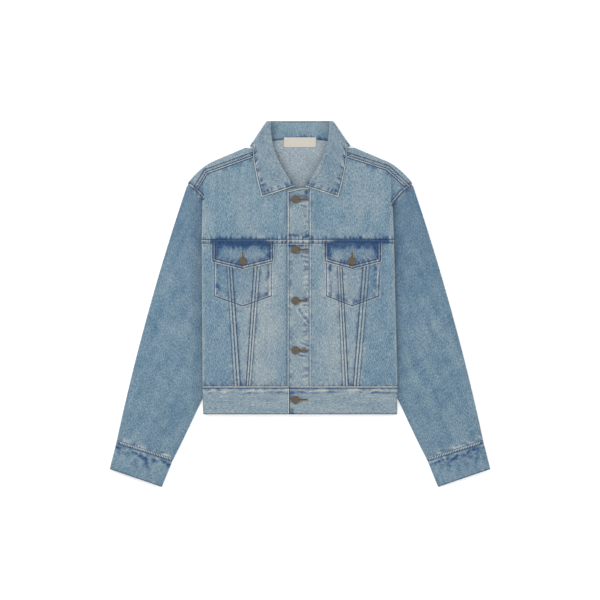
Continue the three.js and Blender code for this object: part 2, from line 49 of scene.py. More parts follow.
# The body, from above, and its heights above the floor
BODY_EDGE = {
    -1: {"y": (-232, -173, 135, 225), "out": (203.5, 205, 206.5, 205)},
    1: {"y": (-232, -173, 135, 225), "out": (204, 205, 197.5, 194)},
}
FOLD_TOP = {-1: 221.5, 1: 208}
HEM_Y, WAIST_Y, CHEST_Y = -232, -173, 135
PLACKET_WIDTH, PLACKET_EDGE, PLACKET_SEAM, PLACKET_TOP = 45, 25, 20, 243
UNDERLAP_SEAM = 28
FRONT_Z = 13
# How far the lapped front stands above the other
LAP_RISE = 2.5
# Height of a sleeve where the body lies on it
SLEEVE_FLAT = 3.4
# Above FOLD_TOP the body's edge steps down to the sleeve, less and less up to here
FOLD_FADE = 268
# Width over which the cloth folded under comes down to the back
DESCENT = 11
SIDE_SEAM_MOST = 187
# How far the collar's seam lifts the back at the neck
NECK_LIFT = 2.9

UNDERARM = (118, 20)
ARMHOLE_PULL = (172, 215)
SHOULDER_TIP = (237, 249)
YOKE_SEAM = {"y": (236, 278.7, 313, 316), "out": (218.66, 195.3, 105, 97.1)}
WING_FROM, WING_TO = 99, 235
BACK_NECK = {"y": 345.5, "side_out": 91.7, "side_y": 334, "rise": 4.5}

SLEEVE_END = {"outer": (385.8, -292.3), "inner": (267.8, -329.3)}
CUFF_END = {"outer": (399.8, -347), "inner": (290.2, -384.5)}
SLEEVE_Z, CUFF_Z, OUTER_EDGE_Z, INNER_EDGE_Z = 12, 11.8, 7.2, 6.4
SLEEVE_LENGTH, SLEEVE_FROM, SLEEVE_TO = 565, 0.0012, 0.9994
SLEEVE_BULGE, SLEEVE_HOLLOW = 8.5, 7
CUFF_WIDTH, CUFF_HEIGHT = 116, 58

# Panel seams below the chest seam, and the raised strip over each: distance out and half width
SEAMS = {
    -1: {"inner": (85, 108), "outer": (153, 131)},
    1: {"inner": (81, 96), "outer": (145, 118)},
}
# inward is the way to the middle panel, where the strip's hardest edge is
STRIPS = (
    {"side": -1, "inward": -1, "chest": 152, "waist": 131.7, "chest_half": 6, "waist_half": 7.3},
    {"side": -1, "inward": 1, "chest": 86.1, "waist": 108.2, "chest_half": 7.3, "waist_half": 5.3},
    {"side": 1, "inward": 1, "chest": 80.8, "waist": 95.6, "chest_half": 4.8, "waist_half": 6.7},
    {"side": 1, "inward": -1, "chest": 144, "waist": 118.1, "chest_half": 7.3, "waist_half": 6.8},
)
# Place across a strip, from -1 to 1 with 1 inward, and how dark the line is
STRIP_LINES = ((-0.95, 0.5), (0.0, 0.6), (0.95, 0.95))
# The lower edge of the shoulder band, from the collar to the armhole
BAND_EDGE = {
    -1: {"out": (100, 194.3, 214), "y": (308, 274, 241.5)},
    1: {"out": (100, 182, 226.8), "y": (308, 281.4, 240.2)},
}
POCKETS = {
    -1: {"from": 54.5, "to": 186, "centre": 120},
    1: {"from": 50, "to": 172, "centre": 109.5},
}
FLAP = {"top": 129, "corner": 88, "point": 72}
BAG = {"inset": 6, "top": 129, "corner": 17, "point": -4}
# Stitches along a flap, as distances from its edge, and across the chest
FLAP_LINES = (3.0, 8.6)
CHEST_LINES = (CHEST_Y + 0.7, CHEST_Y - 7.3)
FLAP_RISE = DOUBLE + SEAM + 0.35
# Radius of the waistband's corners at its lapped end
LAP_CORNER = 4.0
BUTTON_X = -9.7
BUTTON_YS = (220, 114, 7, -97, -201)
FLAP_BUTTON_Y = 90
FOLD_COLUMNS, UNDER_COLUMNS = 12, 16
# A distance that is beyond the reach of any line of stitches
FAR = 99
SHOULDER_ROWS, SHOULDER_TURNS = 25, 12
# Where the front starts to fold under, above the side fold, painted shade darkens the cloth as it turns away
FOLD_SHADE = {-1: ((-204, 262), (-205, 216)), 1: ((191.5, 276), (193, 208))}


def mix(a, b, t):
    return a + (b - a) * t


def clamp(x):
    return np.clip(x, 0, 1)


def smooth(x):
    x = clamp(x)
    return x * x * (3 - 2 * x)


def hump(t):
    return 4 * t * (1 - t)


def bump(d, half):
    """1 where d is 0, falling away within about the given half width."""
    return np.exp(-(d / half) ** 2)


# Even noise from whole-number points, the same on every run

def lattice(i, j, seed):
    h = (i * 374761393 + j * 668265263 + seed * 362437) & 0xFFFFFFFF
    h = ((h ^ (h >> 13)) * 1274126177) & 0xFFFFFFFF
    return ((h ^ (h >> 16)) & 0xFFFF) / 65535.0


def noise(x, y, seed=0):
    i = np.floor(x).astype(np.int64)
    j = np.floor(y).astype(np.int64)
    u, v = smooth(x - i), smooth(y - j)
    low = mix(lattice(i, j, seed), lattice(i + 1, j, seed), u)
    high = mix(lattice(i, j + 1, seed), lattice(i + 1, j + 1, seed), u)
    return 2 * mix(low, high, v) - 1


def clouds(x, y, size, seed=0):
    wide, tall = x / size, y / size
    large = 0.6 * noise(wide, tall, seed)
    middle = 0.3 * noise(wide * 2.1 + 7, tall * 2.1, seed + 1)
    return large + middle + 0.15 * noise(wide * 4.3, tall * 4.3 + 3, seed + 2)


# Lines of the pattern

ARM_T = np.linspace(0, 1, 800)
ARM_OUT, ARM_Y = (
    (1 - ARM_T) ** 2 * UNDERARM[k] + 2 * ARM_T * (1 - ARM_T) * ARMHOLE_PULL[k] + ARM_T ** 2 * SHOULDER_TIP[k]
    for k in (0, 1)
)


def armhole_out(y):
    return np.interp(y, ARM_Y, ARM_OUT)


def armhole_y(out):
    return np.interp(out, ARM_OUT, ARM_Y)


def body_half(side, y):
    return np.interp(y, BODY_EDGE[side]["y"], BODY_EDGE[side]["out"])


def sleeve_inner_out(y):
    t = clamp((UNDERARM[1] - y) / (UNDERARM[1] - SLEEVE_END["inner"][1]))
    return mix(UNDERARM[0], SLEEVE_END["inner"][0], t) - SLEEVE_HOLLOW * hump(t)


def tuck_edge(y):
    side_seam = np.minimum(sleeve_inner_out(y) - 14, SIDE_SEAM_MOST)
    below = mix(UNDERARM[0], side_seam, smooth((UNDERARM[1] - y) / 20))
    return np.where(y > UNDERARM[1], armhole_out(y), below)


def front_start(side):
    return (PLACKET_WIDTH - PLACKET_EDGE if side > 0 else UNDERLAP_SEAM) + SEAM / 2


def neck_out(side, y):
    return mix(front_start(side), 92.15, (np.maximum(0, y - PLACKET_TOP) / 77) ** 0.556)


def shoulder_y(out):
    under_collar = 5.5 * (1 - smooth((out - 104) / 12))
    return 331.5 - 0.42 * (out - 107) - 0.0075 * np.maximum(0, out - 180) ** 2 - under_collar


def yoke_edge_out(y):
    return np.where(y <= YOKE_SEAM["y"][0], armhole_out(y), np.interp(y, YOKE_SEAM["y"], YOKE_SEAM["out"]))


def yoke_seam_y(out):
    outs, ys = YOKE_SEAM["out"][::-1], YOKE_SEAM["y"][::-1]
    return np.where(out > YOKE_SEAM["out"][0], armhole_y(out), np.interp(out, outs, ys))


def back_neck_y(out):
    t = 1 - out / BACK_NECK["side_out"]
    return mix(BACK_NECK["side_y"], BACK_NECK["y"], t) + BACK_NECK["rise"] * hump(t)


def seam_out(pair, y):
    return mix(pair[1], pair[0], (y - WAIST_Y) / (CHEST_Y - WAIST_Y))


# Heights of the smooth form

def body_lift(side, y):
    return mix(3.8, 1.5, smooth((-190 - y) / 42)) + 2 * smooth((y - FOLD_TOP[side] + 41.5) / 25)


def back_z(out, y):
    return NECK_LIFT * smooth((y - 295) / 22) * (1 - smooth((out - 108) / 20))


def front_z(side, out, y):
    z = FRONT_Z - 0.6 * smooth((-100 - y) / 130) - 2.7 * smooth((out - 150) / 90) * smooth((y - 225) / 30)
    if side > 0:
        z = z + LAP_RISE * (1 - smooth((out - 16) / 34)) * smooth((242 - y) / 18)
    fade = smooth((FOLD_FADE - y) / (FOLD_FADE - FOLD_TOP[side]))
    step = 5.5 * fade * smooth((out - body_half(side, y) + 4) / 9)
    return z - np.where(y > FOLD_TOP[side], step, 0)


def fold_radius(side, y):
    return (front_z(side, body_half(side, y) - 5, y) - body_lift(side, y)) / 2


def fold_turn(side, y):
    return math.pi * (1 - 2 / 3 * smooth((y - FOLD_TOP[side] + 16.5) / 16.5))


def front_surface(side, along, y):
    radius = fold_radius(side, y)
    flat = body_half(side, y) - radius
    above = (along <= flat) | (y >= FOLD_TOP[side])
    turn = np.minimum(np.maximum(along - flat, 0) / radius, fold_turn(side, y))
    under = along - flat - radius * turn
    out = flat + radius * np.sin(turn) + under * np.cos(turn)
    z = front_z(side, flat, y) - radius * (1 - np.cos(turn))
    landed = smooth((UNDERARM[1] - y) / 20) * (1 - smooth((out - tuck_edge(y)) / DESCENT)) * (under > 1e-6)
    out = np.where(above, along, out)
    z = np.where(above, front_z(side, along, y), z * (1 - landed))
    return np.stack([side * out, y, z], -1)


# Distance from points to a bent line, and the length along it of the nearest spot

def along_path(x, y, path):
    best = np.full(np.shape(x), 1e9)
    place = np.zeros(np.shape(x))
    start = 0.0
    for (ax, ay), (bx, by) in zip(path[:-1], path[1:]):
        length = math.hypot(bx - ax, by - ay)
        ux, uy = (bx - ax) / length, (by - ay) / length
        t = np.clip((x - ax) * ux + (y - ay) * uy, 0, length)
        d = np.hypot(x - ax - t * ux, y - ay - t * uy)
        place = np.where(d < best, start + t, place)
        best = np.minimum(best, d)
        start += length
    return best, place


def roping(d, c, reach, period=8.0, seed=0):
    """Puckers across a seam, from -1 to 1, that fade with the distance d from it. c runs along the seam."""
    wave = noise(c / period + 0.06 * d, d / (2.5 * reach), seed)
    wave += 0.5 * noise(c / period * 2.3, d / 9, seed + 5)
    return np.clip(1.3 * wave, -1, 1) * bump(d, reach)


def pocket_path(side, shape, inset, lift):
    """The sewn outline of a flap or a bag: down one side, round the point and up the other side."""
    low, high = POCKETS[side]["from"] + inset, POCKETS[side]["to"] - inset
    top, corner, point = shape["top"], shape["corner"] + lift, shape["point"] + lift
    outline = ((low, top), (low, corner), (POCKETS[side]["centre"], point), (high, corner), (high, top))
    return [(side * out, y) for out, y in outline]


def bag_path(side):
    return pocket_path(side, BAG, BAG["inset"], 0)


def flap_path(side, inset=0.0):
    return pocket_path(side, FLAP, inset, inset)


def band_distance(side, x, y):
    """Signed distance from the shoulder band's lower edge, positive above it, and the way along it."""
    row = BAND_EDGE[side]
    path = [(side * out, up) for out, up in zip(row["out"], row["y"])]
    d, c = along_path(x, y, path)
    above = y > np.interp(np.abs(x), row["out"], row["y"])
    return np.where((side * x > 0), np.where(above, d, -d), -FAR), c


def shoulder_band(look, x, y):
    """The stitched band over the shoulder seam, and the one along the armhole, on the body's side of it."""
    for side in (-1, 1):
        d, c = band_distance(side, x, y)
        look.height += 0.6 * smooth((d + 0.8) / 1.4) * (1 - smooth((d - 11) / 3))
        look.groove(d + 0.6, 0.45, 1.1, 1.0, 0.0)
        look.groove(d - 3.8, 0.35, 1.0, 0.95, 0.1)
        look.groove(d - 10.2, 0.35, 0.9, 0.95, 0.1)
        look.worn += 0.3 * bump(d - 1.6, 0.9)
        look.line += 0.4 * smooth((3.2 - np.abs(d - 7)) / 1.5)
        look.rope(np.abs(d - 6.5), c, 5, 0.35, 0.6, 0.7, 61 + side, 5)
        look.rope(np.abs(d + 4), c, 5, 0.25, 0.2, 0.5, 63 + side, 9)
        arm, c = along_path(x, y, armhole_path(side))
        arm = np.where((side * x > body_half(side, y) - 4) & (y > FOLD_TOP[side] - 3), arm, FAR)
        look.groove(arm - 1.0, 0.35, 1.2, 1.0, 0.0)
        look.groove(arm - 7.0, 0.35, 1.0, 1.0, 0.1)
        look.worn += 0.15 * bump(arm - 3.5, 1.0)
        look.rope(np.abs(arm - 4.5), c, 4, 0.3, 0.4, 0.6, 71 + side, 6)
        look.indigo += 0.3 * bump(arm - 9, 4)
        # Painted shade along the fold's crease, wider past its line
        d, c = along_path(x, y, FOLD_SHADE[side])
        past = side * x > side * FOLD_SHADE[side][0][0]
        look.indigo += np.where(past, 0.4, 0.15) * bump(d, np.where(past, 7, 1.6))


def armhole_path(side):
    picks = np.linspace(0.66, 1, 12)
    outs, ys = np.interp(picks, ARM_T, ARM_OUT), np.interp(picks, ARM_T, ARM_Y)
    return [(side * out, y) for out, y in zip(outs, ys)]


# Soft creases, each from one point to another, with a half width and a height
CREASES = (
    ((-196, 120), (-150, 205), 9, 0.7),
    ((-186, 200), (-120, 262), 12, -0.6),
    ((60, 205), (118, 150), 12, 0.6),
    ((186, 120), (150, 212), 9, -0.7),
    ((176, 205), (116, 268), 12, 0.6),
    ((-76, 62), (-58, -120), 11, -0.6),
    ((-46, 70), (-40, -60), 8, 0.5),
    ((52, 60), (62, -110), 11, 0.6),
    ((-196, 40), (-165, -60), 10, -0.6),
    ((188, 60), (160, -70), 10, 0.6),
    ((-190, -90), (-150, -150), 9, 0.5),
    ((180, -80), (140, -150), 9, -0.5),
    ((-120, 8), (-118, -90), 12, 0.5),
    ((108, 0), (106, -100), 10, -0.5),
)


def creases(x, y, table):
    height = np.zeros(np.shape(x))
    for start, end, half, deep in table:
        d, c = along_path(x, y, (start, end))
        ends = np.sin(math.pi * clamp(c / math.dist(start, end))) ** 0.7
        height += deep * ends * bump(d, half)
        height -= 0.45 * deep * ends * bump(d - 1.9 * half, half)
    return height


class Look:
    """A piece's outer face, point by point: its height in millimetres, then from 0 to 1 how faded, how deep
    blue and how worn the cloth is, and how dark its lines of stitches are. The deep blue also carries painted
    shade."""

    def __init__(self, like):
        self.height, self.fade, self.indigo, self.worn, self.line = np.zeros((5, *np.shape(like)))

    def wear(self):
        return np.stack([self.fade, self.indigo, self.worn, self.line], -1)

    def rope(self, d, c, reach=7, height=0.35, fade=0.5, indigo=0.6, seed=0, period=8.0):
        """Puckers across a seam: pale on their ridges and dark between them."""
        wave = roping(d, c, reach, period, seed)
        self.height += height * wave
        self.fade += fade * np.maximum(wave, 0)
        self.indigo += indigo * np.maximum(-wave, 0)

    def groove(self, d, depth=0.3, dark=0.6, half=0.75, glow=0.25):
        """A stitched line: a dark groove with paler cloth on both sides of it."""
        line = bump(d, half)
        self.height -= depth * line
        self.line += dark * line
        self.worn += glow * bump(np.abs(d) - 1.9, 0.8)


def chest_seam(look, x, y):
    """The felled seam across the chest: a raised band with a line of stitches at each edge."""
    d = y - (CHEST_Y - 3.3)
    look.height += 0.7 * smooth((4.6 - np.abs(d)) / 1.6)
    look.groove(d - 4.0, 0.4, 1.0, 1.0, 0.0)
    look.groove(d + 4.0, 0.4, 1.1, 1.0, 0.0)
    chest = smooth((np.abs(x) - 66) / 12) * (1 - smooth((np.abs(x) - 186) / 10))
    look.worn += (0.45 - 0.4 * chest) * bump(d - 2.2, 0.9)
    look.worn += (0.5 - 0.3 * chest) * bump(d + 5.9, 0.9)
    look.indigo += 0.7 * chest * smooth((4 - np.abs(d)) / 1.5)
    look.rope(np.maximum(np.abs(d - 2) - 4, 0), x, 8, 0.4, 0.75, 0.8, 31, 3.4)


def strip_at(row, y):
    t = (y - WAIST_Y) / (CHEST_Y - WAIST_Y)
    return mix(row["waist"], row["chest"], t), mix(row["waist_half"], row["chest_half"], t)


def side_of(x):
    return np.where(x > 0, 1, -1)


def panel_strips(look, x, y):
    """The felled seams between the panels: raised strips with lines of stitches."""
    below = smooth((CHEST_Y - 9 - y) / 2)
    on_bag = smooth((BAG["point"] - y) / 10)
    for k, row in enumerate(STRIPS):
        centre, half = strip_at(row, y)
        d = np.abs(x) - centre
        on = (side_of(x) == row["side"]) * below * smooth((y - WAIST_Y) / 2)
        look.height += 0.75 * on * smooth((half + 0.8 - np.abs(d)) / 1.6)
        for place, dark in STRIP_LINES:
            shown = np.where(on > 0, d - place * half * row["inward"], FAR)
            look.groove(shown, 0.4, 1.25 * dark, 1.0, 0.06)
            look.indigo += 0.2 * dark * bump(shown + 2.0, 1.4)
        look.rope(np.where(on > 0, np.abs(np.abs(d) - half - 1), FAR), y, 5, 0.3, 0.3, 0.35, 11 + k, 11)
        look.worn += (0.12 + 0.14 * on_bag) * on * bump(np.abs(d) - 0.45 * half, 1.3)


def bag_outline(look, side, x, y):
    """The line of stitches that holds a pocket bag, and the wear of the cloth inside it."""
    out = np.abs(x)
    d, c = along_path(x, y, bag_path(side))
    under_flap = smooth((FLAP["corner"] + 30 - y) / 10)
    look.height += 0.3 * under_flap * bump(d, 2.2)
    shown = np.where(under_flap > 0, d, FAR)
    look.groove(shown, 0.35, 0.9 + 0.3 * smooth((BAG["corner"] + 6 - y) / 6), 0.95, 0.25)
    first, last = POCKETS[side]["from"] + BAG["inset"], POCKETS[side]["to"] - BAG["inset"]
    drop = np.abs(out - (first + last) / 2) / ((last - first) / 2)
    above = y > mix(BAG["point"], BAG["corner"], drop)
    inside = (side_of(x) == side) & (drop < 1) & above & (under_flap > 0)
    look.rope(np.where(inside, np.abs(shown - 5), FAR), c, 6, 0.3, 0.5, 0.55, 51 + side, 9)
    beside = np.minimum(out - first, last - out)
    dashes = clamp(0.42 + 1.1 * noise(x / 5, y / 5.5, 86))
    look.indigo += inside * under_flap * (0.1 + 0.65 * dashes * bump(beside - 8, 3.2))
    look.worn += 0.3 * inside * bump(beside - 2.2, 1.0)
    for corner in bag_path(side)[1:4]:
        spot = np.hypot(x - corner[0] * 0.98, y - corner[1] - 6)
        look.fade += 0.45 * bump(spot, 7)
        look.indigo += 0.35 * bump(spot - 11, 3) * clamp(0.3 + noise(x / 6, y / 6, 85))


def side_fold(look, side, x, y):
    """Paler cloth along the fold at the side of the body."""
    edge = body_half(side, y) - np.abs(x)
    crease = np.where((side_of(x) == side) & (y < FOLD_TOP[side] - 2), edge, FAR)
    look.fade += 0.4 * bump(crease - 3, 4) * (0.7 + 0.5 * noise(y / 14, 0 * y, 81))
    look.worn += 0.2 * bump(crease - 1, 1.3)


def front_look(x, y):
    """Relief and wear of the front, at plan points. x is signed."""
    look = Look(x)
    out = np.abs(x)
    look.height += 0.5 * clouds(x, y, 80, 3) + creases(x, y, CREASES)
    panel_strips(look, x, y)
    chest_seam(look, x, y)
    chest = smooth((out - 45) / 20) * (1 - smooth((out - 172) / 18))
    look.indigo += (0.75 + 0.3 * clouds(x, y, 20, 8)) * chest * bump(y - CHEST_Y + 1, 6)
    look.indigo += (0.15 + 0.25 * clouds(x, 0 * y, 30, 9)) * bump(np.maximum(y - WAIST_Y, 0), 11)
    look.line += 0.6 * bump(y - WAIST_Y - 0.5, 0.7)
    look.rope(np.abs(y - WAIST_Y), x, 9, 0.35, 0.8, 0.45, 41, 3.4)
    for side in (-1, 1):
        bag_outline(look, side, x, y)
        side_fold(look, side, x, y)
    shoulder_band(look, x, y)
    look.rope(np.where(x > 0, np.abs(x - 24), FAR), y, 5, 0.3, 0.3, 0.35, 91)
    look.worn += np.where(x > 0, 0.3 * bump(x - 21.5, 1.0), 0)
    # Painted shadow of the lapped placket, a soft band beside its free edge
    look.indigo += 0.1 * bump(x + 29, 5) * smooth((y - WAIST_Y) / 20)
    lower = smooth((CHEST_Y - y) / 30)
    look.fade += lower * (0.62 * bump(out - 80, 52) - 0.05) + (1 - lower) * 0.14
    look.indigo += 0.05 * lower * smooth((out - 130) / 45)
    look.fade += 0.22 * clouds(x, y, 55, 5)
    look.fade += 0.13 * noise(x / 6, y / 48, 87) + 0.1 * noise(x / 2.6, y / 30, 88)
    return look


# Meshes

def grid_normals(points, up, ring=False):
    if ring:
        across = np.roll(points, -1, 1) - np.roll(points, 1, 1)
    else:
        across = np.gradient(points, axis=1)
    normal = np.cross(across, np.gradient(points, axis=0)) * up
    return normal / np.maximum(np.linalg.norm(normal, axis=-1, keepdims=True), 1e-9)


def add_object(name, points, faces, materials, attributes=(), face_materials=None):
    mesh = bpy.data.meshes.new(name)
    mesh.from_pydata((points * MM).tolist(), [], faces)
    for key, kind, values in attributes:
        layer = mesh.attributes.new(key, kind, "POINT")
        field = "color" if kind == "FLOAT_COLOR" else "vector"
        layer.data.foreach_set(field, values.astype(np.float32).ravel())
    for material in materials:
        mesh.materials.append(material)
    if face_materials is not None:
        mesh.polygons.foreach_set("material_index", np.asarray(face_materials, dtype=np.int32))
    mesh.shade_smooth()
    mesh.update()
    piece = bpy.data.objects.new(name, mesh)
    bpy.context.scene.collection.objects.link(piece)
    return piece


def shell(name, outer, inner, look, cloth, materials, ring=False):
    """A closed wall of cloth between two grids of points. The inner faces take the second material."""
    rows, columns = outer.shape[:2]
    count = rows * columns
    index = np.arange(count).reshape(rows, columns)
    turned = np.roll(index, -1, 1) if ring else index[:, 1:]
    first = index if ring else index[:, :-1]
    quads = np.stack([first[:-1], turned[:-1], turned[1:], first[1:]], -1).reshape(-1, 4)
    inside = quads[:, ::-1] + count
    rims = [(first[0], turned[0], 1), (first[-1], turned[-1], -1)]
    if not ring:
        rims += [(index[:-1, 0], index[1:, 0], -1), (index[:-1, -1], index[1:, -1], 1)]
    sides = []
    for a, b, turn in rims:
        side = np.stack([a, a + count, b + count, b], -1)
        sides.append(side if turn > 0 else side[:, ::-1])
    faces = np.concatenate([quads, inside, *sides])
    points = np.concatenate([outer.reshape(-1, 3), inner.reshape(-1, 3)])
    if signed_volume(points, faces) < 0:
        faces = faces[:, ::-1]
    kinds = np.zeros(len(faces), dtype=np.int32)
    kinds[len(quads):2 * len(quads)] = 1
    wear = np.clip(look.wear().reshape(-1, 4), 0, 1)
    place = np.concatenate([cloth, np.zeros(cloth.shape[:-1] + (1,))], -1).reshape(-1, 3) * MM
    attributes = (
        ("wear", "FLOAT_COLOR", np.concatenate([wear, wear])),
        ("cloth", "FLOAT_VECTOR", np.concatenate([place, place])),
    )
    return add_object(name, points, faces.tolist(), materials, attributes, kinds)


def signed_volume(points, quads):
    a, b, c, d = (points[quads[:, k]] for k in range(4))
    return float(np.sum(a * np.cross(b, c)) + np.sum(a * np.cross(c, d)))


def spaced(start, end, coarse, fine=1.0, margin=9.0, spots=()):
    """Places from start to end, close together near both ends and near each of the spots."""
    s = np.linspace(start, end, 4000)
    d = np.min([np.abs(s - spot) for spot in (start, end, *spots)], axis=0)
    density = 1 / mix(fine, coarse, smooth((d - 0.6 * margin) / (0.6 * margin)))
    total = np.concatenate([[0], np.cumsum((density[1:] + density[:-1]) / 2 * np.diff(s))])
    return np.interp(np.linspace(0, total[-1], math.ceil(total[-1]) + 1), total, s)


def round_edges(look, distances, drop=0.45, reach=1.6):
    """Turns a wall's outer face down at its edges, given the distance to each edge."""
    for d in distances:
        look.height -= drop * (1 - smooth(d / reach))


def grid_area(points):
    a, b, c, d = points[:-1, :-1], points[:-1, 1:], points[1:, 1:], points[1:, :-1]
    return float(np.linalg.norm(np.cross(c - a, d - b), axis=-1).sum() / 2)


def ring_area(points):
    return grid_area(np.concatenate([points, points[:, :1]], 1))


def finish_piece(piece, nodes, flat=None, area=None):
    """Hangs the piece on the root body and hides the model's parts it takes the place of. A sheet's flat size
    and area are turned into metres but not used.
    """
    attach(piece, "root")
    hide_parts(*nodes)
    if flat:
        flat = (flat[0] * MM, flat[1] * MM)
        if area:
            area = min(area * MM * MM, flat[0] * flat[1])


# Fronts

def front_grid(side, ys, start, stop, columns):
    """Rows of places along the cloth. Without a stop they go on round the fold and back underneath."""
    rows = []
    for y in ys:
        radius = float(fold_radius(side, y))
        flat = float(body_half(side, y)) - radius
        low = float(start(y))
        if stop is not None:
            rows.append(low + (float(stop(y)) - low) * columns)
            continue
        if y >= FOLD_TOP[side]:
            edge = float(yoke_edge_out(y)) - SEAM / 2
            turn_at = min(float(body_half(side, y)) - 5, mix(low, edge, 0.93))
            fold = np.linspace(turn_at, edge, FOLD_COLUMNS + UNDER_COLUMNS + 1)
        else:
            turn_at = flat
            turned = flat + radius * float(fold_turn(side, y))
            edge = turned + max(0.2, flat - float(tuck_edge(y)) - SEAM / 2)
            under = np.linspace(turned, edge, UNDER_COLUMNS + 1)[1:]
            fold = np.concatenate([np.linspace(flat, turned, FOLD_COLUMNS + 1), under])
        rows.append(np.concatenate([low + (turn_at - low) * columns, fold[1:]]))
    along = np.array(rows)
    return along, np.repeat(np.array(ys)[:, None], along.shape[1], 1)


def make_front(name, node, side, ys, start, stop=None, width=60, coarse=2.4, spots=()):
    along, y = front_grid(side, ys, start, stop, spaced(0, width, coarse, 0.75, 11, spots) / width)
    base = front_surface(side, along, y)
    seen = np.where(y < FOLD_TOP[side], body_half(side, y) - 1, 999)
    look = front_look(side * np.minimum(along, seen), y)
    edges = [along - along[:, :1], y - ys[0], ys[-1] - y]
    if stop is None:
        look.height *= smooth((body_half(side, y) + 6 - along) / 12)
    else:
        edges.append(along[:, -1:] - along)
    round_edges(look, edges, 0.35, 1.3)
    normal = grid_normals(base, side)
    outer = base + normal * look.height[..., None]
    inner = base + normal * (0.6 * np.minimum(look.height, 0.4) - CLOTH)[..., None]
    piece = shell(name, outer, inner, look, np.stack([side * along, y], -1), (DENIM, WRONG_SIDE))
    flat = (float(np.max(along[:, -1] - along[:, 0])), ys[-1] - ys[0])
    finish_piece(piece, [node], flat, grid_area(base))


def yoke_rows(side):
    top = FOLD_TOP[side]
    lower = spaced(CHEST_Y + SEAM / 2, top - 0.5, 2.6, 0.8, 10)
    upper = spaced(top + 0.5, 316, 1.6, 1.0, 6)
    return sorted(set(np.round(np.concatenate([lower, upper, YOKE_SEAM["y"][:3], [PLACKET_TOP]]), 3)))


def fronts():
    spots = (BAG["point"], (BAG["point"] + BAG["corner"]) / 2, BAG["corner"])
    lower = spaced(WAIST_Y + SEAM / 2, CHEST_Y - SEAM / 2, 2.8, 0.8, 10, spots)
    side_rows = sorted(set(np.round(np.concatenate([lower, [0, 7, 14, 20]]), 3)))
    for side, word in SIDES:
        first = front_start(side)
        bag_edge = POCKETS[side]["from"] + BAG["inset"] - first
        (inner_low, inner_high), (outer_low, outer_high) = (
            [lambda y, p=SEAMS[side][key], gap=gap: seam_out(p, y) + gap for gap in (-SEAM / 2, SEAM / 2)]
            for key in ("inner", "outer")
        )
        for panel, kind, rows, start, stop, width, coarse, spots in (
            ("yoke_front", "front_yoke", yoke_rows(side), lambda y: neck_out(side, y), None, 180, 2.2, ()),
            ("centre_panel", "front_centre", lower, lambda y: first, inner_low, 70, 2.6, (bag_edge,)),
            ("middle_panel", "front_middle", lower, inner_high, outer_low, 50, 2.4, ()),
            ("side_panel", "front_side", side_rows, outer_high, None, 46, 2.4, (34,)),
        ):
            make_front(f"{panel}_{word}", f"{kind}_{word}", side, rows, start, stop, width, coarse, spots)


def front_top(x, y):
    """Height of the finished front's outer face at plan points."""
    z = np.where(x > 0, front_z(1, np.abs(x), y), front_z(-1, np.abs(x), y))
    return z + front_look(x, y).height


# Plackets, flaps and pocket bags

def flat_piece(name, node, xs, ys, z, look, thickness, materials, edges):
    """A piece over plan grids xs and ys, whose outer face is at height z plus its own relief."""
    round_edges(look, edges, 0.7, 2.0)
    outer = np.stack([xs, ys, z + look.height], -1)
    inner = np.stack([xs, ys, z + 0.3 * np.minimum(look.height, 0) - thickness], -1)
    piece = shell(name, outer, inner, look, np.stack([xs, ys], -1), materials)
    finish_piece(piece, [node], (float(np.ptp(xs)), float(np.ptp(ys))), grid_area(outer))


# Pulled creases that stay dark beside the buttonholes, from and to, with half width and depth of colour
PULLS = (
    ((-1, -12), (18, -38), 2.4, 0.5), ((0, -80), (18, -88), 1.8, 0.5), ((-3, -106), (18, -113), 1.8, 0.5),
    ((-21, 13), (-20, 0), 2.4, 0.45), ((3, 101), (19, 97), 1.8, 0.45), ((4, -2), (19, -4), 1.6, 0.45),
    ((2, 208), (17, 203), 1.8, 0.4),
)


def placket_top(x):
    return PLACKET_TOP - 6 * smooth((5 - x) / 30)


def placket_look(x, y):
    look = Look(x)
    look.height += 0.25 * clouds(x, y, 30, 21)
    edge, seam = x + PLACKET_EDGE, PLACKET_SEAM - x
    rim = placket_top(x) - y
    look.groove(edge - 2.8, 0.3, 0.45, 0.8, 0.0)
    look.groove(seam - 1.5, 0.35, 0.3, 0.8, 0.0)
    look.groove(rim - 3.0, 0.3, 0.7, 0.9, 0.0)
    look.rope(np.abs(seam - 9), y, 5, 0.3, 0.5, 0.4, 26, 5)
    look.rope(np.abs(seam - 6), y, 6, 0.4, 0.6, 0.45, 23, 4)
    look.rope(np.abs(edge - 5), y, 6, 0.3, 0.3, 0.45, 24, 10)
    for k, button_y in enumerate(BUTTON_YS):
        pull = bump(y - button_y + 6, 11) * bump(x - 8, 14)
        look.height += 0.5 * pull * noise(x / 16, (y - button_y) / 3.4, 25 + k)
        look.indigo += 0.75 * pull * clamp(0.4 + noise(x / 16, (y - button_y) / 4, 25 + k))
    # Painted shade along each buttonhole
    for button_y in BUTTON_YS:
        hole = smooth((x - BUTTON_X - 4) / 5) * (1 - smooth((x - 17) / 3))
        look.indigo += 0.5 * hole * bump(y - button_y, 3.0)
    for start, end, half, deep in PULLS:
        d = np.abs(along_path(x, y, [start, end])[0])
        near = bump(d, half)
        look.height -= 0.25 * near
        look.indigo += deep * near * clamp(0.8 + noise(x / 4, y / 4, 32))
        look.worn += 0.3 * bump(d - 2.2 * half, 1.3)
    chest_seam(look, x, y)
    look.indigo += 1.0 * bump(y - CHEST_Y + 11.5, 3) * clamp(0.75 + noise(x / 5, y / 9, 28))
    look.indigo += 0.9 * bump(y - CHEST_Y - 9, 4) * clamp(0.45 + noise(x / 6, y / 5, 30))
    look.indigo += 0.9 * bump(rim - 10, 9) * clamp(0.55 + noise(x / 7, y / 9, 29))
    look.fade += 0.42 + 0.25 * clouds(x, y, 25, 22)
    strong = 0.25 + 0.6 * smooth((y - CHEST_Y) / 20)
    look.worn += strong * bump(edge, 0.9) + 0.3 * bump(seam, 1.0) + 0.9 * bump(rim, 1.3)
    return look


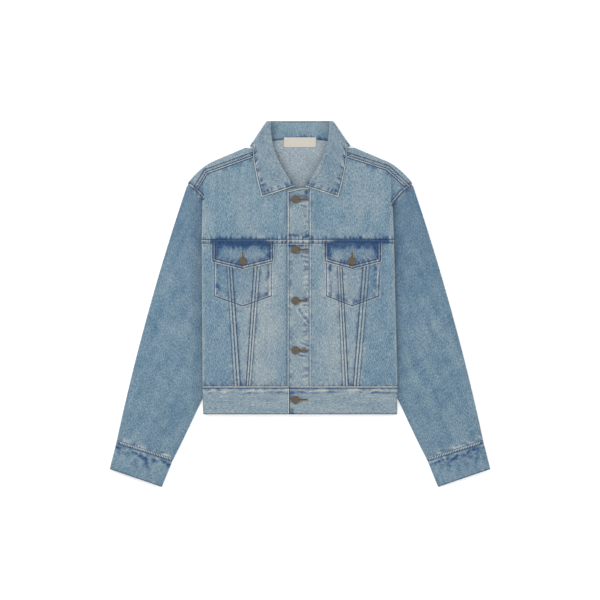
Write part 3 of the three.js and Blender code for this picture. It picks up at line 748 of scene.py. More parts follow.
def plackets():
    height = PLACKET_TOP - WAIST_Y
    spots = [(y - WAIST_Y) / height for y in (CHEST_Y, CHEST_Y - 7, *BUTTON_YS[:4])]
    ts = spaced(0, 1, 2.4 / height, 0.8 / height, 9.0 / height, spots)
    x, t = np.meshgrid(spaced(-PLACKET_EDGE, PLACKET_SEAM - SEAM / 2, 1.6, 0.65, 6), ts)
    y = mix(WAIST_Y + SEAM / 2, placket_top(x), t)
    z = front_z(-1, 0 * x, y) + LAP_RISE
    edges = (x + PLACKET_EDGE, PLACKET_SEAM - x, placket_top(x) - y)
    flat_piece("placket_over", "placket_right", x, y, z, placket_look(x, y), DOUBLE, (DENIM_PALE, DENIM_PALE),
               edges)
    columns = spaced(-UNDERLAP_SEAM + SEAM / 2, PLACKET_WIDTH - UNDERLAP_SEAM, 4, 1.2, 4)
    x, t = np.meshgrid(columns, spaced(0, 1, 8 / height, 3 / height, 12 / height))
    y = mix(WAIST_Y + SEAM / 2, PLACKET_TOP, t)
    look = Look(x)
    look.fade += 0.2 + 0.2 * clouds(x, y, 30, 27)
    flat_piece("placket_under", "placket_left", x, y, front_z(-1, 0 * x, y) - 0.2, look, CLOTH,
               (DENIM, WRONG_SIDE), (x + UNDERLAP_SEAM,))


def pointed(side, shape, low, high, out):
    """Height of the pointed lower edge of a flap or a bag."""
    centre, corner, point = POCKETS[side]["centre"], shape["corner"], shape["point"]
    rising = mix(corner, point, (high - out) / (high - centre))
    return np.where(out < centre, mix(corner, point, (out - low) / (centre - low)), rising)


def pocket_pieces(side, word):
    p = POCKETS[side]
    half = spaced(0, 1, 0.03, 0.012, 0.16)
    outs = np.concatenate([mix(p["from"], p["centre"], half), mix(p["centre"], p["to"], half)[1:]])
    out, t = np.meshgrid(outs, spaced(0, 1, 0.035, 0.017, 0.3))
    low = pointed(side, FLAP, p["from"], p["to"], out)
    y = mix(low, FLAP["top"], t)
    x = side * out
    look = Look(x)
    d, c = along_path(x, y, flap_path(side))
    look.height += 0.35 * clouds(x, y, 35, 33) + 0.3 * smooth((9 - d) / 3)
    for inset in FLAP_LINES:
        look.groove(d - inset, 0.35, 1.1, 0.95, 0.08)
    look.rope(np.abs(d - 6), c, 4, 0.3, 0.6, 0.7, 34 + side, 3.4)
    look.rope(np.maximum(d - 10, 0), c, 7, 0.35, 0.6, 0.7, 38 + side, 4)
    top = FLAP["top"] - y
    ragged = noise(x / 5, y / 12, 39)
    deep = (1.0 if side < 0 else 0.86) + 0.35 * clouds(x, y, 16, 36)
    look.indigo += deep * bump(np.maximum(top - 4 - 5 * ragged, 0), 9)
    look.line += 0.45 * bump(np.maximum(top - 2, 0), 4)
    ends = np.minimum(out - p["from"], p["to"] - out)
    beside = bump(np.maximum(ends - 11, 0), 6) * smooth((y - FLAP["corner"]) / 20)
    look.indigo += (0.5 + 0.35 * ragged) * beside
    look.indigo += (0.3 + 0.4 * clouds(x, y, 14, 37)) * bump(d - 12, 6)
    look.fade += 0.1 + 0.4 * clouds(x, y, 20, 38)
    look.indigo += 0.1
    look.worn += 0.65 * bump(d, 1.1) + 0.2 * bump(d - 5.6, 0.9)
    edges = (out - p["from"], p["to"] - out, y - low)
    flat_piece(f"flap_{word}", f"pocket_flap_{word}", x, y, front_z(side, out, y) + FLAP_RISE, look, DOUBLE,
               (DENIM_PALE, DENIM_PALE), edges)

    first, last = p["from"] + BAG["inset"], p["to"] - BAG["inset"]
    outs = np.concatenate([np.linspace(first, p["centre"], 12), np.linspace(p["centre"], last, 12)[1:]])
    out, t = np.meshgrid(outs, np.linspace(0, 1, 24))
    y = mix(pointed(side, BAG, first, last, out), BAG["top"], t)
    flat_piece(f"bag_{word}", f"pocket_bag_{word}", side * out, y, front_z(side, out, y) - CLOTH - SEAM,
               Look(out), 1.0, (POCKETING, POCKETING), ())


# Back, on the floor

def back_pieces():
    unit, y = np.meshgrid(np.linspace(-1, 1, 60), spaced(WAIST_Y + SEAM / 2, CHEST_Y - SEAM / 2, 6, 2, 8))
    edge = tuck_edge(y) - SEAM / 2
    x = edge * unit
    look = Look(x)
    look.fade += 0.15 + 0.25 * clouds(x, y, 60, 44)
    look.rope(y - WAIST_Y, x, 8, 0, 0.4, 0.5, 45)
    outer = np.stack([x, y, 0 * x], -1)
    inner = np.stack([x, y, CLOTH + 0.25 * clouds(x, y, 40, 46) * smooth((edge - np.abs(x)) / 12)], -1)
    piece = shell("back_panel", outer, inner, look, np.stack([x, y], -1), (DENIM, WRONG_SIDE))
    finish_piece(piece, ["back"], (2 * float(edge.max()), float(np.ptp(y))), grid_area(outer))


def wing_grid(side, outs):
    """The yoke from the back, over the shoulder and down to the front seam."""
    bottom = back_z(outs, shoulder_y(outs) - 8)
    radius = (front_z(side, outs, shoulder_y(outs) - 6) - bottom) / 2
    turn_y = shoulder_y(outs) - radius
    low = np.maximum(CHEST_Y + SEAM / 2, np.where(outs > UNDERARM[0], armhole_y(outs) + SEAM, 0))
    strip = np.maximum(0.3, turn_y - yoke_seam_y(outs) - SEAM / 2)
    rows = []
    for t in np.linspace(0, 1, SHOULDER_ROWS + 1)[:-1]:
        y = mix(low, turn_y, t)
        rows.append((y, back_z(outs, y)))
    for turn in np.linspace(0, math.pi, SHOULDER_TURNS):
        rows.append((turn_y + radius * math.sin(turn), bottom + radius * (1 - math.cos(turn))))
    rise = bottom + 2 * radius - front_z(side, outs, turn_y)
    for t in np.linspace(0, 1, 19)[1:]:
        y = turn_y - strip * t
        rows.append((y, rise + front_z(side, outs, y)))
    return np.array([np.stack([side * outs, y, z], -1) for y, z in rows])


def shoulder_wing(side, word):
    outs = np.concatenate([spaced(WING_FROM, WING_TO, 2.0, 1.0, 9), YOKE_SEAM["out"][:2]])
    base = wing_grid(side, np.array(sorted(set(np.round(outs, 3)))))
    normal = grid_normals(base, -side)
    x, y = base[..., 0], base[..., 1]
    look = Look(x)
    shoulder_band(look, x, y)
    on_top = (np.arange(len(base)) > SHOULDER_ROWS + SHOULDER_TURNS / 2)[:, None]
    for key, values in vars(look).items():
        setattr(look, key, np.where(on_top, values, 0))
    look.height += on_top * 0.4 * clouds(x, y, 30, 52)
    look.fade += 0.25 + 0.25 * clouds(x, y, 40, 58)
    outer = base + normal * look.height[..., None]
    cloth = np.stack([x, y], -1)
    wing = shell(f"yoke_shoulder_{word}", outer, base - normal * CLOTH, look, cloth, (DENIM, WRONG_SIDE))
    return wing, grid_area(base)


def yoke_middle():
    outs = np.concatenate([np.linspace(0, BACK_NECK["side_out"], 30), [WING_FROM]])
    x, t = np.meshgrid(np.concatenate([-outs[:0:-1], outs]), spaced(0, 1, 0.03, 0.01, 0.06))
    out = np.abs(x)
    top = np.where(out > BACK_NECK["side_out"], shoulder_y(out) - 1, back_neck_y(out) - SEAM)
    y = mix(CHEST_Y + SEAM / 2, top, t)
    look = Look(x)
    look.fade += 0.2 + 0.25 * clouds(x, y, 60, 59)
    z = back_z(out, y)
    lift = np.maximum(0.5 * clouds(x, y, 34, 60) * smooth((top - y) / 10), -0.4)
    outer, inner = (np.stack([x, y, height], -1) for height in (z, z + CLOTH + lift))
    piece = shell("yoke_back", outer, inner, look, np.stack([y, x], -1), (DENIM, WRONG_SIDE))
    finish_piece(piece, ["back_yoke"], (2 * WING_FROM, float(np.ptp(y))), grid_area(outer))


def back_yoke():
    wings = [shoulder_wing(side, word) for side, word in SIDES]
    yoke_middle()
    for wing, area in wings:
        finish_piece(wing, ["back_yoke"], (200, 240), area)


# Waistband

def waistband_grid(side, start, ys):
    """Rows of places along the band's cloth, from its front end round the fold to the centre back."""
    rows = []
    for y in ys:
        radius = float(fold_radius(side, y))
        flat = float(body_half(side, y)) - radius
        turned = flat + radius * math.pi
        rows.append(np.concatenate([
            start + (flat - start) * (spaced(0, 220, 3.0, 0.9, 8) / 220), np.linspace(flat, turned, 13)[1:],
            np.linspace(turned, turned + 24, 10)[1:], np.linspace(turned + 24, turned + flat, 40)[1:]]))
    along = np.array(rows)
    if side > 0:
        corner = clamp(1 - np.minimum(WAIST_Y - SEAM / 2 - ys, ys - HEM_Y) / LAP_CORNER)[:, None]
        along += LAP_CORNER * (1 - np.sqrt(1 - corner ** 2)) * (1 - smooth((along - start) / 20))
    return along


def waistband_surface(side, along, y):
    radius = fold_radius(side, y)
    flat = body_half(side, y) - radius
    lap = (LAP_RISE if side > 0 else -0.1) * (1 - smooth((along - 16) / 34))
    edge_z = front_z(side, body_half(side, y) - 5, y)
    turn = np.clip((along - flat) / radius, 0, math.pi)
    under = np.maximum(0, along - flat - radius * math.pi)
    out = np.where(along <= flat, along, flat + radius * np.sin(turn) - under)
    landed = np.where(turn < math.pi, 0, 1 - smooth((out - tuck_edge(y)) / DESCENT))
    z = np.where(along <= flat, edge_z + lap, (edge_z - radius * (1 - np.cos(turn))) * (1 - landed))
    return np.stack([side * out, y, z], -1)


def waistband_look(x, y, tip):
    """Relief and wear of the band. tip is the distance from its lapped end, or nothing on the other half."""
    look = Look(x)
    look.height += 0.3 * clouds(x, y, 40, 62)
    seam, hem = WAIST_Y - y, y - HEM_Y
    look.groove(seam - 3.4, 0.4, 1.3, 1.0, 0.0)
    look.worn += 0.75 * bump(seam - 1.3, 0.8)
    look.rope(np.abs(seam - 8), x, 6, 0.5, 0.9, 0.35, 64, 13)
    wavy = seam - 13.5 - 2.5 * noise(x / 20, 0 * y, 60)
    look.indigo += 0.7 * bump(wavy, 1.5) * clamp(0.35 + noise(x / 9, 0 * y, 61))
    look.worn += 0.25 * bump(wavy + 3.6, 1.6)
    look.groove(hem - 1.6, 0.3, 0.7, 0.9, 0.0)
    look.fade += 0.42 + 0.25 * noise(x / 30, y / 3, 65) + 0.15 * noise(x / 12, y / 2, 69)
    look.worn += 0.3 * bump(hem, 0.9)
    look.indigo += 0.75 * bump(seam - 13.5, 2.2) * clamp(noise(x / 26, 0 * y, 66))
    look.indigo += 0.5 * bump(seam - 5, 2) * clamp(0.4 + noise(x / 7, 0 * y, 67))
    if tip is not None:
        look.worn += 0.8 * bump(tip, 1.3)
        look.groove(tip - 3.2, 0.3, 1.35, 1.0, 0.0)
        look.rope(np.abs(tip - 7), y, 6, 0.3, 0.4, 0.6, 68, 7)
        lapped = smooth((tip - 3) / 3) * bump(tip - 6, 18)
        look.indigo += 0.85 * lapped * clamp(1.4 * noise(x / 30, y / 5, 72) + 0.1)
    return look


def waistband():
    ys = spaced(HEM_Y, WAIST_Y - SEAM / 2, 2.5, 0.8, 9)
    for side, start, word in ((1, -PLACKET_EDGE, "right"), (-1, UNDERLAP_SEAM - PLACKET_WIDTH, "left")):
        along = waistband_grid(side, start, ys)
        y = np.repeat(ys[:, None], along.shape[1], 1)
        base = waistband_surface(side, along, y)
        tip = along - start if side > 0 else None
        look = waistband_look(side * along, y, tip)
        look.height *= smooth((body_half(side, y) - fold_radius(side, y) + 6 - along) / 10)
        round_edges(look, [y - HEM_Y] + ([] if tip is None else [tip]), 0.7, 2.0)
        normal = grid_normals(base, side)
        outer = base + normal * look.height[..., None]
        cloth = np.stack([y, side * along], -1)
        inner = base - normal * DOUBLE
        piece = shell(f"waistband_{word}", outer, inner, look, cloth, (DENIM_PALE, DENIM_PALE))
        flat = (float(np.max(along[:, -1] - along[:, 0])), WAIST_Y - HEM_Y)
        finish_piece(piece, ["waistband"], flat, grid_area(base))


# Sleeves and cuffs

# Creases across each sleeve, from and to, as parts of its width from the outer edge and of its length
SLEEVE_CREASES = (
    ((0.20, 0.10), (0.75, 0.16), 0.018, -0.9),
    ((0.10, 0.26), (0.62, 0.22), 0.016, 0.8),
    ((0.30, 0.40), (0.95, 0.34), 0.02, -0.9),
    ((0.05, 0.50), (0.60, 0.45), 0.018, 0.9),
    ((0.35, 0.58), (0.95, 0.52), 0.018, -1.0),
    ((0.08, 0.66), (0.66, 0.70), 0.016, 0.8),
    ((0.30, 0.80), (0.92, 0.74), 0.018, -0.8),
    ((0.30, 0.99), (0.22, 0.86), 0.014, 0.9),
    ((0.55, 0.99), (0.50, 0.88), 0.013, -0.9),
    ((0.78, 0.99), (0.70, 0.89), 0.013, 0.8),
)
# A sleeve's width as a part of its length, which sets the slope of its creases
SLEEVE_SHAPE = 0.24


def sleeve_line(t, f):
    """A sleeve's outline from shoulder to cuff, at parts t of its length and f of its width."""
    outer, inner = (
        [mix(start[k], SLEEVE_END[edge][k], t) + bulge * (1 - k) * hump(t) for k in (0, 1)]
        for edge, start, bulge in (("outer", SHOULDER_TIP, SLEEVE_BULGE), ("inner", UNDERARM, -SLEEVE_HOLLOW))
    )
    bow = np.maximum(0, 1 - t / 0.5) ** 2
    curve = (np.interp(1 - f, ARM_T, ARM_OUT), np.interp(1 - f, ARM_T, ARM_Y))
    # Past either end of the curve it runs on straight, as the rounded edges need
    over = np.where(f < 0, f, np.where(f > 1, f - 1, 0))
    result = []
    for k in (0, 1):
        chord = mix(SHOULDER_TIP[k], UNDERARM[k], f)
        on_curve = curve[k] + over * (UNDERARM[k] - SHOULDER_TIP[k])
        result.append(mix(outer[k], inner[k], f) + bow * (on_curve - chord))
    return result


def cuff_line(t, f):
    outer, inner = (
        [mix(SLEEVE_END[edge][k], CUFF_END[edge][k], t) for k in (0, 1)]
        for edge in ("outer", "inner")
    )
    return [mix(outer[k], inner[k], f) for k in (0, 1)]


def crown_z(f, top):
    """Height of a flattened tube's upper face across its width."""
    edge = mix(OUTER_EDGE_Z, INNER_EDGE_Z, f)
    return edge + (top - edge) * np.sin(math.pi * clamp(f)) ** 0.6


def ring_points(side, line, ts, depth, top, columns, press):
    """Rings across a flattened tube: over its top, round the inner edge, underneath and up the outer edge."""
    n_top, n_edge, n_low = columns
    t = ts[:, None]
    a, b = line(t, np.array([[0.0]])), line(t, np.array([[1.0]]))
    span = np.hypot(b[0] - a[0], b[1] - a[1])

    def top_z(f):
        crown = crown_z(f, top)
        if not press:
            return crown
        out, y = line(t, f)
        pressed = smooth((body_half(side, y) + 27 - out) / 24) * smooth((FOLD_TOP[side] + 14.5 - y) / 24)
        return mix(crown, SLEEVE_FLAT, pressed)

    r0, r1 = top_z(0 * t) / 2, top_z(0 * t + 1) / 2
    first, last = r0 / span, 1 - r1 / span
    f = first + (last - first) * np.linspace(0, 1, n_top)[None, :]
    z = mix(2 * r0, top_z(f), smooth((f - first) / 0.06))
    z = mix(2 * r1, z, smooth((last - f) / 0.06))
    angle = np.linspace(math.pi / 2, -math.pi / 2, n_edge + 2)[1:-1][None, :]
    back = np.linspace(1, 0, n_low)[None, :]
    parts = (
        (f, z - depth),
        (last + (r1 - depth) * np.cos(angle) / span, r1 + (r1 - depth) * np.sin(angle)),
        (first + (last - first) * back, depth + 0 * first * back),
        (first - (r0 - depth) * np.cos(angle) / span, r0 - (r0 - depth) * np.sin(angle)),
    )
    f, z = (np.concatenate(part, 1) for part in zip(*parts))
    out, y = line(t, f)
    return np.stack([side * out, y, z], -1), f, span


def tube(side, line, ts, thickness, top, columns, press):
    """A flattened tube's outer and inner points and outward normals, then 1 on its top face, and its places
    f across and t along it, and its width."""
    base, f, span = ring_points(side, line, ts, 0, top, columns, press)
    inner = ring_points(side, line, ts, thickness, top, columns, press)[0]
    normal = grid_normals(base, 1, True)
    if np.sum(normal[..., 2] * (base[..., 2] - base[..., 2].mean(1, keepdims=True))) < 0:
        normal = -normal
    on_top = (np.arange(f.shape[1])[None, :] < columns[0]) * 1.0
    return base, inner, normal, on_top, clamp(f), np.repeat(ts[:, None], f.shape[1], 1), span


def finish_tube(name, nodes, base, inner, normal, height, look, cloth, lining, flat):
    """Puts the relief on a tube, keeps it off the floor, and makes its piece."""
    outer = base + normal * height[..., None]
    outer[..., 2] = np.maximum(outer[..., 2], 0)
    piece = shell(name, outer, inner, look, cloth, (DENIM_SLEEVE, lining), True)
    finish_piece(piece, nodes, flat, ring_area(base))


def sleeve(side, word):
    ts = SLEEVE_FROM + (SLEEVE_TO - SLEEVE_FROM) * (spaced(0, SLEEVE_LENGTH, 3.4, 0.9, 12) / SLEEVE_LENGTH)
    base, inner, normal, top, u, t, span = tube(side, sleeve_line, ts, CLOTH, SLEEVE_Z, (66, 9, 24), True)
    look = Look(u)
    cover = smooth(u / 0.12) * smooth((1 - u) / 0.12)
    down, seam, across = t * SLEEVE_LENGTH, (1 - t) * SLEEVE_LENGTH, (1 - u) * span
    tall = 0.45 + 0.55 * smooth((base[..., 2] - 4.2) / 3)
    bumps = creases(u * SLEEVE_SHAPE, t, [
        ((a[0] * SLEEVE_SHAPE, a[1]), (b[0] * SLEEVE_SHAPE, b[1]), half, height)
        for a, b, half, height in SLEEVE_CREASES])
    look.height += top * cover * tall * (bumps + 0.7 * clouds(across, down, 70, 121 + side))
    look.rope(seam, across, 15, 0.5, 1.0, 0.5, 125 + side, 5.5)
    pucker = noise(across / 11 + seam / 9, seam / 5, 123 + side)
    look.worn += 0.5 * top * clamp(pucker - 0.1) * bump(seam - 11, 8)
    look.indigo += 0.7 * top * clamp(-pucker - 0.1) * bump(seam - 11, 8)
    look.indigo += 0.6 * bump(seam - 3.4, 2.0)
    look.groove(seam - 6.6, 0.4, 0.9, 0.8, 0.15)
    look.line += 0.95 * bump(seam, 1.1)
    look.rope(down, across, 9, 0.3, 0.45, 0.45, 127 + side, 8)
    look.height *= top
    streaks = 0.6 * noise(across / 13, down / 70, 131 + side) + 0.5 * noise(across / 6, down / 34, 137 + side)
    fine = noise(across / 2.8, down / 30, 138 + side)
    look.fade += 0.2 + 0.24 * clouds(across, down, 42, 132 + side) + 0.24 * streaks + 0.12 * fine
    look.fade += 0.2 * clamp(bumps)
    look.indigo += 0.1 * clamp(-streaks) + 0.14 * clamp(-bumps)
    # Painted shade where the sleeve lies pressed low beside the body
    look.indigo += 0.06 * top * (1 - smooth((base[..., 2] - 3.6) / 5))
    # Darker towards the shoulder; the extra on the right sleeve is a painted shadow of the body's edge
    look.indigo += (0.29 if side > 0 else 0.2) * (1 - smooth((t - 0.1) / 0.35))
    cloth = np.stack([across + 900 * side, down], -1)
    nodes = [f"sleeve_front_{word}", f"sleeve_back_{word}"]
    height = np.maximum(look.height, -0.55 * CLOTH)
    finish_tube(f"sleeve_cloth_{word}", nodes, base, inner, normal, height, look,
                cloth, WRONG_SIDE, (500, 600))


# Creases of each cuff, from and to, as parts of its width from the outer edge and of its height from the seam
CUFF_CREASES = {
    -1: (
        ((0.46, 0.14), (0.32, 0.72), 0.75),
        ((0.55, 0.22), (0.76, 0.2), 0.6),
        ((0.08, 0.3), (0.3, 0.24), 0.55),
    ),
    1: (
        ((0.5, 0.16), (0.38, 0.5), 0.35),
        ((0.62, 0.25), (0.92, 0.2), 0.65),
        ((0.12, 0.24), (0.3, 0.28), 0.55),
    ),
}


def cuff(side, word):
    ts = spaced(0.002, 1, 1.8 / CUFF_HEIGHT, 0.75 / CUFF_HEIGHT, 9 / CUFF_HEIGHT)
    base, inner, normal, top, u, t, span = tube(side, cuff_line, ts, DOUBLE, CUFF_Z, (84, 9, 26), False)
    across, down, hem = (1 - u) * span, t * CUFF_HEIGHT, (1 - t) * CUFF_HEIGHT
    look = Look(u)
    look.height += 0.35 * clouds(across, down, 26, 141 + side)
    look.groove(down - 0.6, 0.4, 0.9, 0.9, 0.0)
    look.rope(np.abs(down - 4), across, 5, 0.45, 0.6, 0.5, 143 + side, 9)
    slanted = 0.6 * noise(across / 9 + down / 13, down / 30, 149 + side)
    fold = slanted + 0.6 * noise(across / 13 - down / 30, down / 7, 159 + side)
    near = smooth((down - 5) / 5) * smooth((44 - down) / 26)
    look.height += 0.8 * near * fold
    look.indigo += 1.0 * near * clamp(-1.5 * fold - 0.2) + 0.15 * clamp(clouds(across, down, 30, 147 + side))
    row = 9.5 + 4 * noise(across / 13, 0 * down, 142 + side)
    look.indigo += 0.9 * bump(down - row, 3.2) * clamp(0.45 + 1.3 * noise(across / 4.5, down / 6, 148 + side))
    for start, end, strength in CUFF_CREASES[side]:
        ends = [(p[0] * CUFF_WIDTH, p[1] * CUFF_HEIGHT) for p in (start, end)]
        d, c = along_path(u * CUFF_WIDTH, down, ends)
        below = down > np.interp(u * CUFF_WIDTH, *zip(*sorted(ends)))
        d = np.abs(d + 2.5 * noise(c / 9, 0 * d, 144 + side))
        look.indigo += strength * bump(d, 4.2) * (0.6 + 0.7 * noise(c / 5, down / 4, 146 + side))
        look.fade += 0.6 * strength * bump(d - 6, 2.5) * np.where(below, 0, 1)
        look.height -= 0.6 * strength * bump(d, 3.4)
    look.fade += 0.3 + 0.5 * near * clamp(fold) + 0.3 * noise(down / 30, across / 4, 145 + side)
    look.groove(hem - 1.8, 0.3, 0.7, 0.9, 0.0)
    look.worn += 0.4 * bump(hem, 0.8)
    look.height *= top
    look.height -= 0.6 * (1 - smooth(hem / 2.0))
    cloth = np.stack([down, across + 900 * side], -1)
    finish_tube(f"cuff_cloth_{word}", [f"cuff_{word}"], base, inner, normal, look.height,
                look, cloth, DENIM_SLEEVE, (240, 60))


# Collar: the fall and the inner half, each from one front end, over the shoulders and under the back neck

COLLAR = {
    "roll_front": (10.5, 248), "roll_back": (70, 384.5),
    "outer_front": (80, 225), "outer_back": (106, 331), "low": 0, "high": 17,
    "rise": 1.2, "sag": 9, "roll_bulge": 15, "outer_bulge": 3, "back_bulge": 0,
}
STAND = {
    "roll_front": (12, 246.5), "roll_back": (67.5, 380.5),
    "outer_front": (15, 243.5), "outer_back": (96.5, 337), "low": 2.9, "high": 14.5,
    "rise": 0, "sag": -8.5, "roll_bulge": 15, "outer_bulge": 22, "back_bulge": 4.5,
}


def collar_band(form, w):
    """Centres, normals and reach of the band's rows. Each runs from the roll line, w of the way across."""
    rise = form["outer_back"][0] - form["roll_back"][0]
    fall = form["roll_back"][1] - form["outer_back"][1]
    facing = np.stack([fall + 0 * w, rise * smooth(w * 2.5)], -1)
    facing /= np.linalg.norm(facing, axis=-1, keepdims=True)
    high = form["high"] + form["rise"] * (1 - smooth(w * 1.4))
    radius = (high - form["low"]) / 2
    front, fold = (
        mix(np.array(form["roll_" + end]), np.array(form["outer_" + end]), w[:, None])
        for end in ("front", "back")
    )
    fold = fold - facing * radius[:, None]
    middle = np.stack([0 * w, mix(form["roll_back"][1], form["outer_back"][1] - form["sag"], w)], -1)

    def row(side, t, turn):
        base = mix(front, fold, t) if turn < math.pi else mix(fold, middle, t)
        if turn == 0:
            base = base + np.stack([hump(t) * mix(form["roll_bulge"], form["outer_bulge"], w), 0 * w], -1)
        if turn == math.pi:
            base = base + np.stack([0 * w, hump(t) * form["back_bulge"] * w], -1)
        centre = np.stack([side * base[:, 0], base[:, 1], form["low"] + radius], -1)
        level = facing * math.sin(turn)
        return centre, np.stack([side * level[:, 0], level[:, 1], math.cos(turn) + 0 * w], -1), radius

    def half(side):
        result = [row(side, t, 0) for t in spaced(0, 1, 0.022, 0.008, 0.06)]
        result += [row(side, 1, turn) for turn in np.linspace(0, math.pi, 15)[1:-1]]
        return result + [row(side, t, math.pi) for t in np.linspace(0, 1, 26)[:(26 if side < 0 else 25)]]

    return (np.array(part) for part in zip(*half(-1), *half(1)[::-1]))


def fall_look(look, c, d, roll, end):
    """Wear of the collar's fall, from the distances to its outer edge, roll line and nearest front end."""
    edge = np.minimum(d, end)
    look.groove(edge - 3.0, 0.35, 1.0, 0.9, 0.0)
    past = np.where(d < end, c, d * 1.3)
    look.rope(np.maximum(edge - 5, 0), past, 8, 0.5, 0.8, 0.6, 153, 3.3)
    look.indigo += 0.95 * clamp(1.2 * noise(past / 3.0, edge / 11, 154) + 0.1) * bump(edge - 8, 4.5)
    look.worn += 0.9 * bump(edge, 1.25)
    look.fade += 0.2 * bump(roll - 1, 4)
    look.height -= 1.2 * (1 - np.sqrt(1 - (1 - clamp(roll / 8)) ** 2))
    round_edges(look, [edge], 0.8, 2.2)


def collar():
    for form, name, node, thickness, steps in (
        (COLLAR, "collar_fall", "collar", DOUBLE, (0.035, 0.011, 0.16)),
        (STAND, "collar_inner", "collar_stand", CLOTH, (0.08, 0.03, 0.2)),
    ):
        across = spaced(0, 1, *steps)
        centre, normal, reach = collar_band(form, across)
        outer = centre + normal * reach[..., None]
        along = run_lengths(outer[:, -1])
        c = np.repeat(along[:, None], len(across), 1)
        width = np.linalg.norm(outer[:, -1] - outer[:, 0], axis=-1)[:, None]
        roll, d = across * np.maximum(width, 20), (1 - across) * np.maximum(width, 20)
        look = Look(c)
        look.fade += 0.12 + 0.3 * clouds(c, d, 40, 151)
        look.height += 0.4 * clouds(c, d, 36, 152) * smooth(d / 8)
        if form is COLLAR:
            fall_look(look, c, d, roll, np.minimum(front_end_distance(outer), 60))
        else:
            look.indigo += 0.6 * bump(d - 2, 4)
            look.line += 0.8 * bump(d, 1.4)
            look.rope(np.abs(d - 5), c, 6, 0.3, 0.4, 0.6, 155)
        height = np.minimum(look.height, 0.5)[..., None]
        top = outer + normal * height
        under = centre + normal * (reach - thickness)[..., None] + normal * np.minimum(height, 0)
        top[..., 2] = np.maximum(top[..., 2], 0)
        piece = shell(name, top, under, look, np.stack([c, d], -1), (DENIM_COLLAR, DENIM))
        size = (float(along[-1]), float(width.max()))
        finish_piece(piece, [node], size, grid_area(outer))


def front_end_distance(points):
    """Distance of each point to the band's nearest front end line."""
    result = np.full(points.shape[:2], 1e9)
    for end in (points[0], points[-1]):
        d, _ = along_path(points[..., 0], points[..., 1], [tuple(end[0, :2]), tuple(end[-1, :2])])
        same = np.sign(points[..., 0]) == np.sign(end[0, 0])
        result = np.where(same & (points[..., 2] > 9), np.minimum(result, d), result)
    return result


# Small pieces

# Radius and height along a button's outline, from the middle of its back round to the middle of its face
BUTTON_PROFILE = (
    (0, 0), (6.6, 0), (7.8, 0.25), (8.35, 0.8), (8.5, 1.5), (8.35, 2.3), (7.9, 2.85), (7.3, 3.0),
    (6.8, 2.85), (6.4, 2.62), (5.6, 2.6), (4.2, 2.72), (2.6, 2.82), (1.2, 2.87), (0, 2.88),
)


def buttons():
    z = FRONT_Z + LAP_RISE + SEAM + 0.35
    places = [(f"button_{k + 1}", BUTTON_X, y, z) for k, y in enumerate(BUTTON_YS)]
    for side, word in SIDES:
        centre = side * POCKETS[side]["centre"]
        places.append((f"flap_button_{word}", centre, FLAP_BUTTON_Y, FRONT_Z + DOUBLE + 2 * SEAM + 0.5))
    turns = np.linspace(0, 2 * math.pi, 48, endpoint=False)
    for name, x, y, z in places:
        rings = []
        for r, h in BUTTON_PROFILE[1:-1]:
            rings.append(np.stack([x + r * np.cos(turns), y + r * np.sin(turns), z + h + 0 * turns], -1))
        points = np.concatenate([[[x, y, z]], *rings, [[x, y, z + BUTTON_PROFILE[-1][1]]]])
        count, rounds = len(turns), len(rings)
        faces = []
        for k in range(count):
            n = (k + 1) % count
            faces.append((0, 1 + n, 1 + k))
            for i in range(rounds - 1):
                a, b = 1 + i * count, 1 + (i + 1) * count
                faces.append((a + k, a + n, b + n, b + k))
            a = 1 + (rounds - 1) * count
            faces.append((a + k, a + n, len(points) - 1))
        piece = add_object(f"tack_{name}", points, faces, (BRONZE,))
        finish_piece(piece, [name])


def stitch_mesh(name, centres, directions, normals, length, radius, material):
    """Short threads, each a six-sided spindle that dips at both ends."""
    across = np.cross(directions, normals)
    rings = ((-0.5, 0.25, -0.25), (-0.36, 0.85, 0.0), (0.0, 1.0, 0.12), (0.36, 0.85, 0.0), (0.5, 0.25, -0.25))
    turns = np.linspace(0, 2 * math.pi, 6, endpoint=False)
    points = []
    for place, size, rise in rings:
        middle = centres + directions * (place * length) + normals * (rise * radius * 2)
        for turn in turns:
            wide, tall = radius * size * math.cos(turn), radius * size * math.sin(turn)
            points.append(middle + across * wide + normals * tall)
    points = np.array(points).transpose(1, 0, 2)
    faces = []
    for i in range(4):
        for k in range(6):
            n = (k + 1) % 6
            faces.append((i * 6 + k, i * 6 + n, (i + 1) * 6 + n, (i + 1) * 6 + k))
    caps = [[5, 4, 3, 2, 1, 0], [24, 25, 26, 27, 28, 29]]
    every = []
    for k in range(len(points)):
        every += [tuple(i + 30 * k for i in face) for face in faces]
        every += [tuple(i + 30 * k for i in cap) for cap in caps]
    return add_object(name, points.reshape(-1, 3), every, (material,))


def run_lengths(path):
    """Length along a bent line at each of its points."""
    return np.concatenate([[0], np.cumsum(np.linalg.norm(np.diff(path, axis=0), axis=1))])


def walk(path, lengths, places):
    """Points of a bent line at the given lengths along it."""
    return np.stack([np.interp(places, lengths, path[:, k]) for k in range(path.shape[1])], -1)


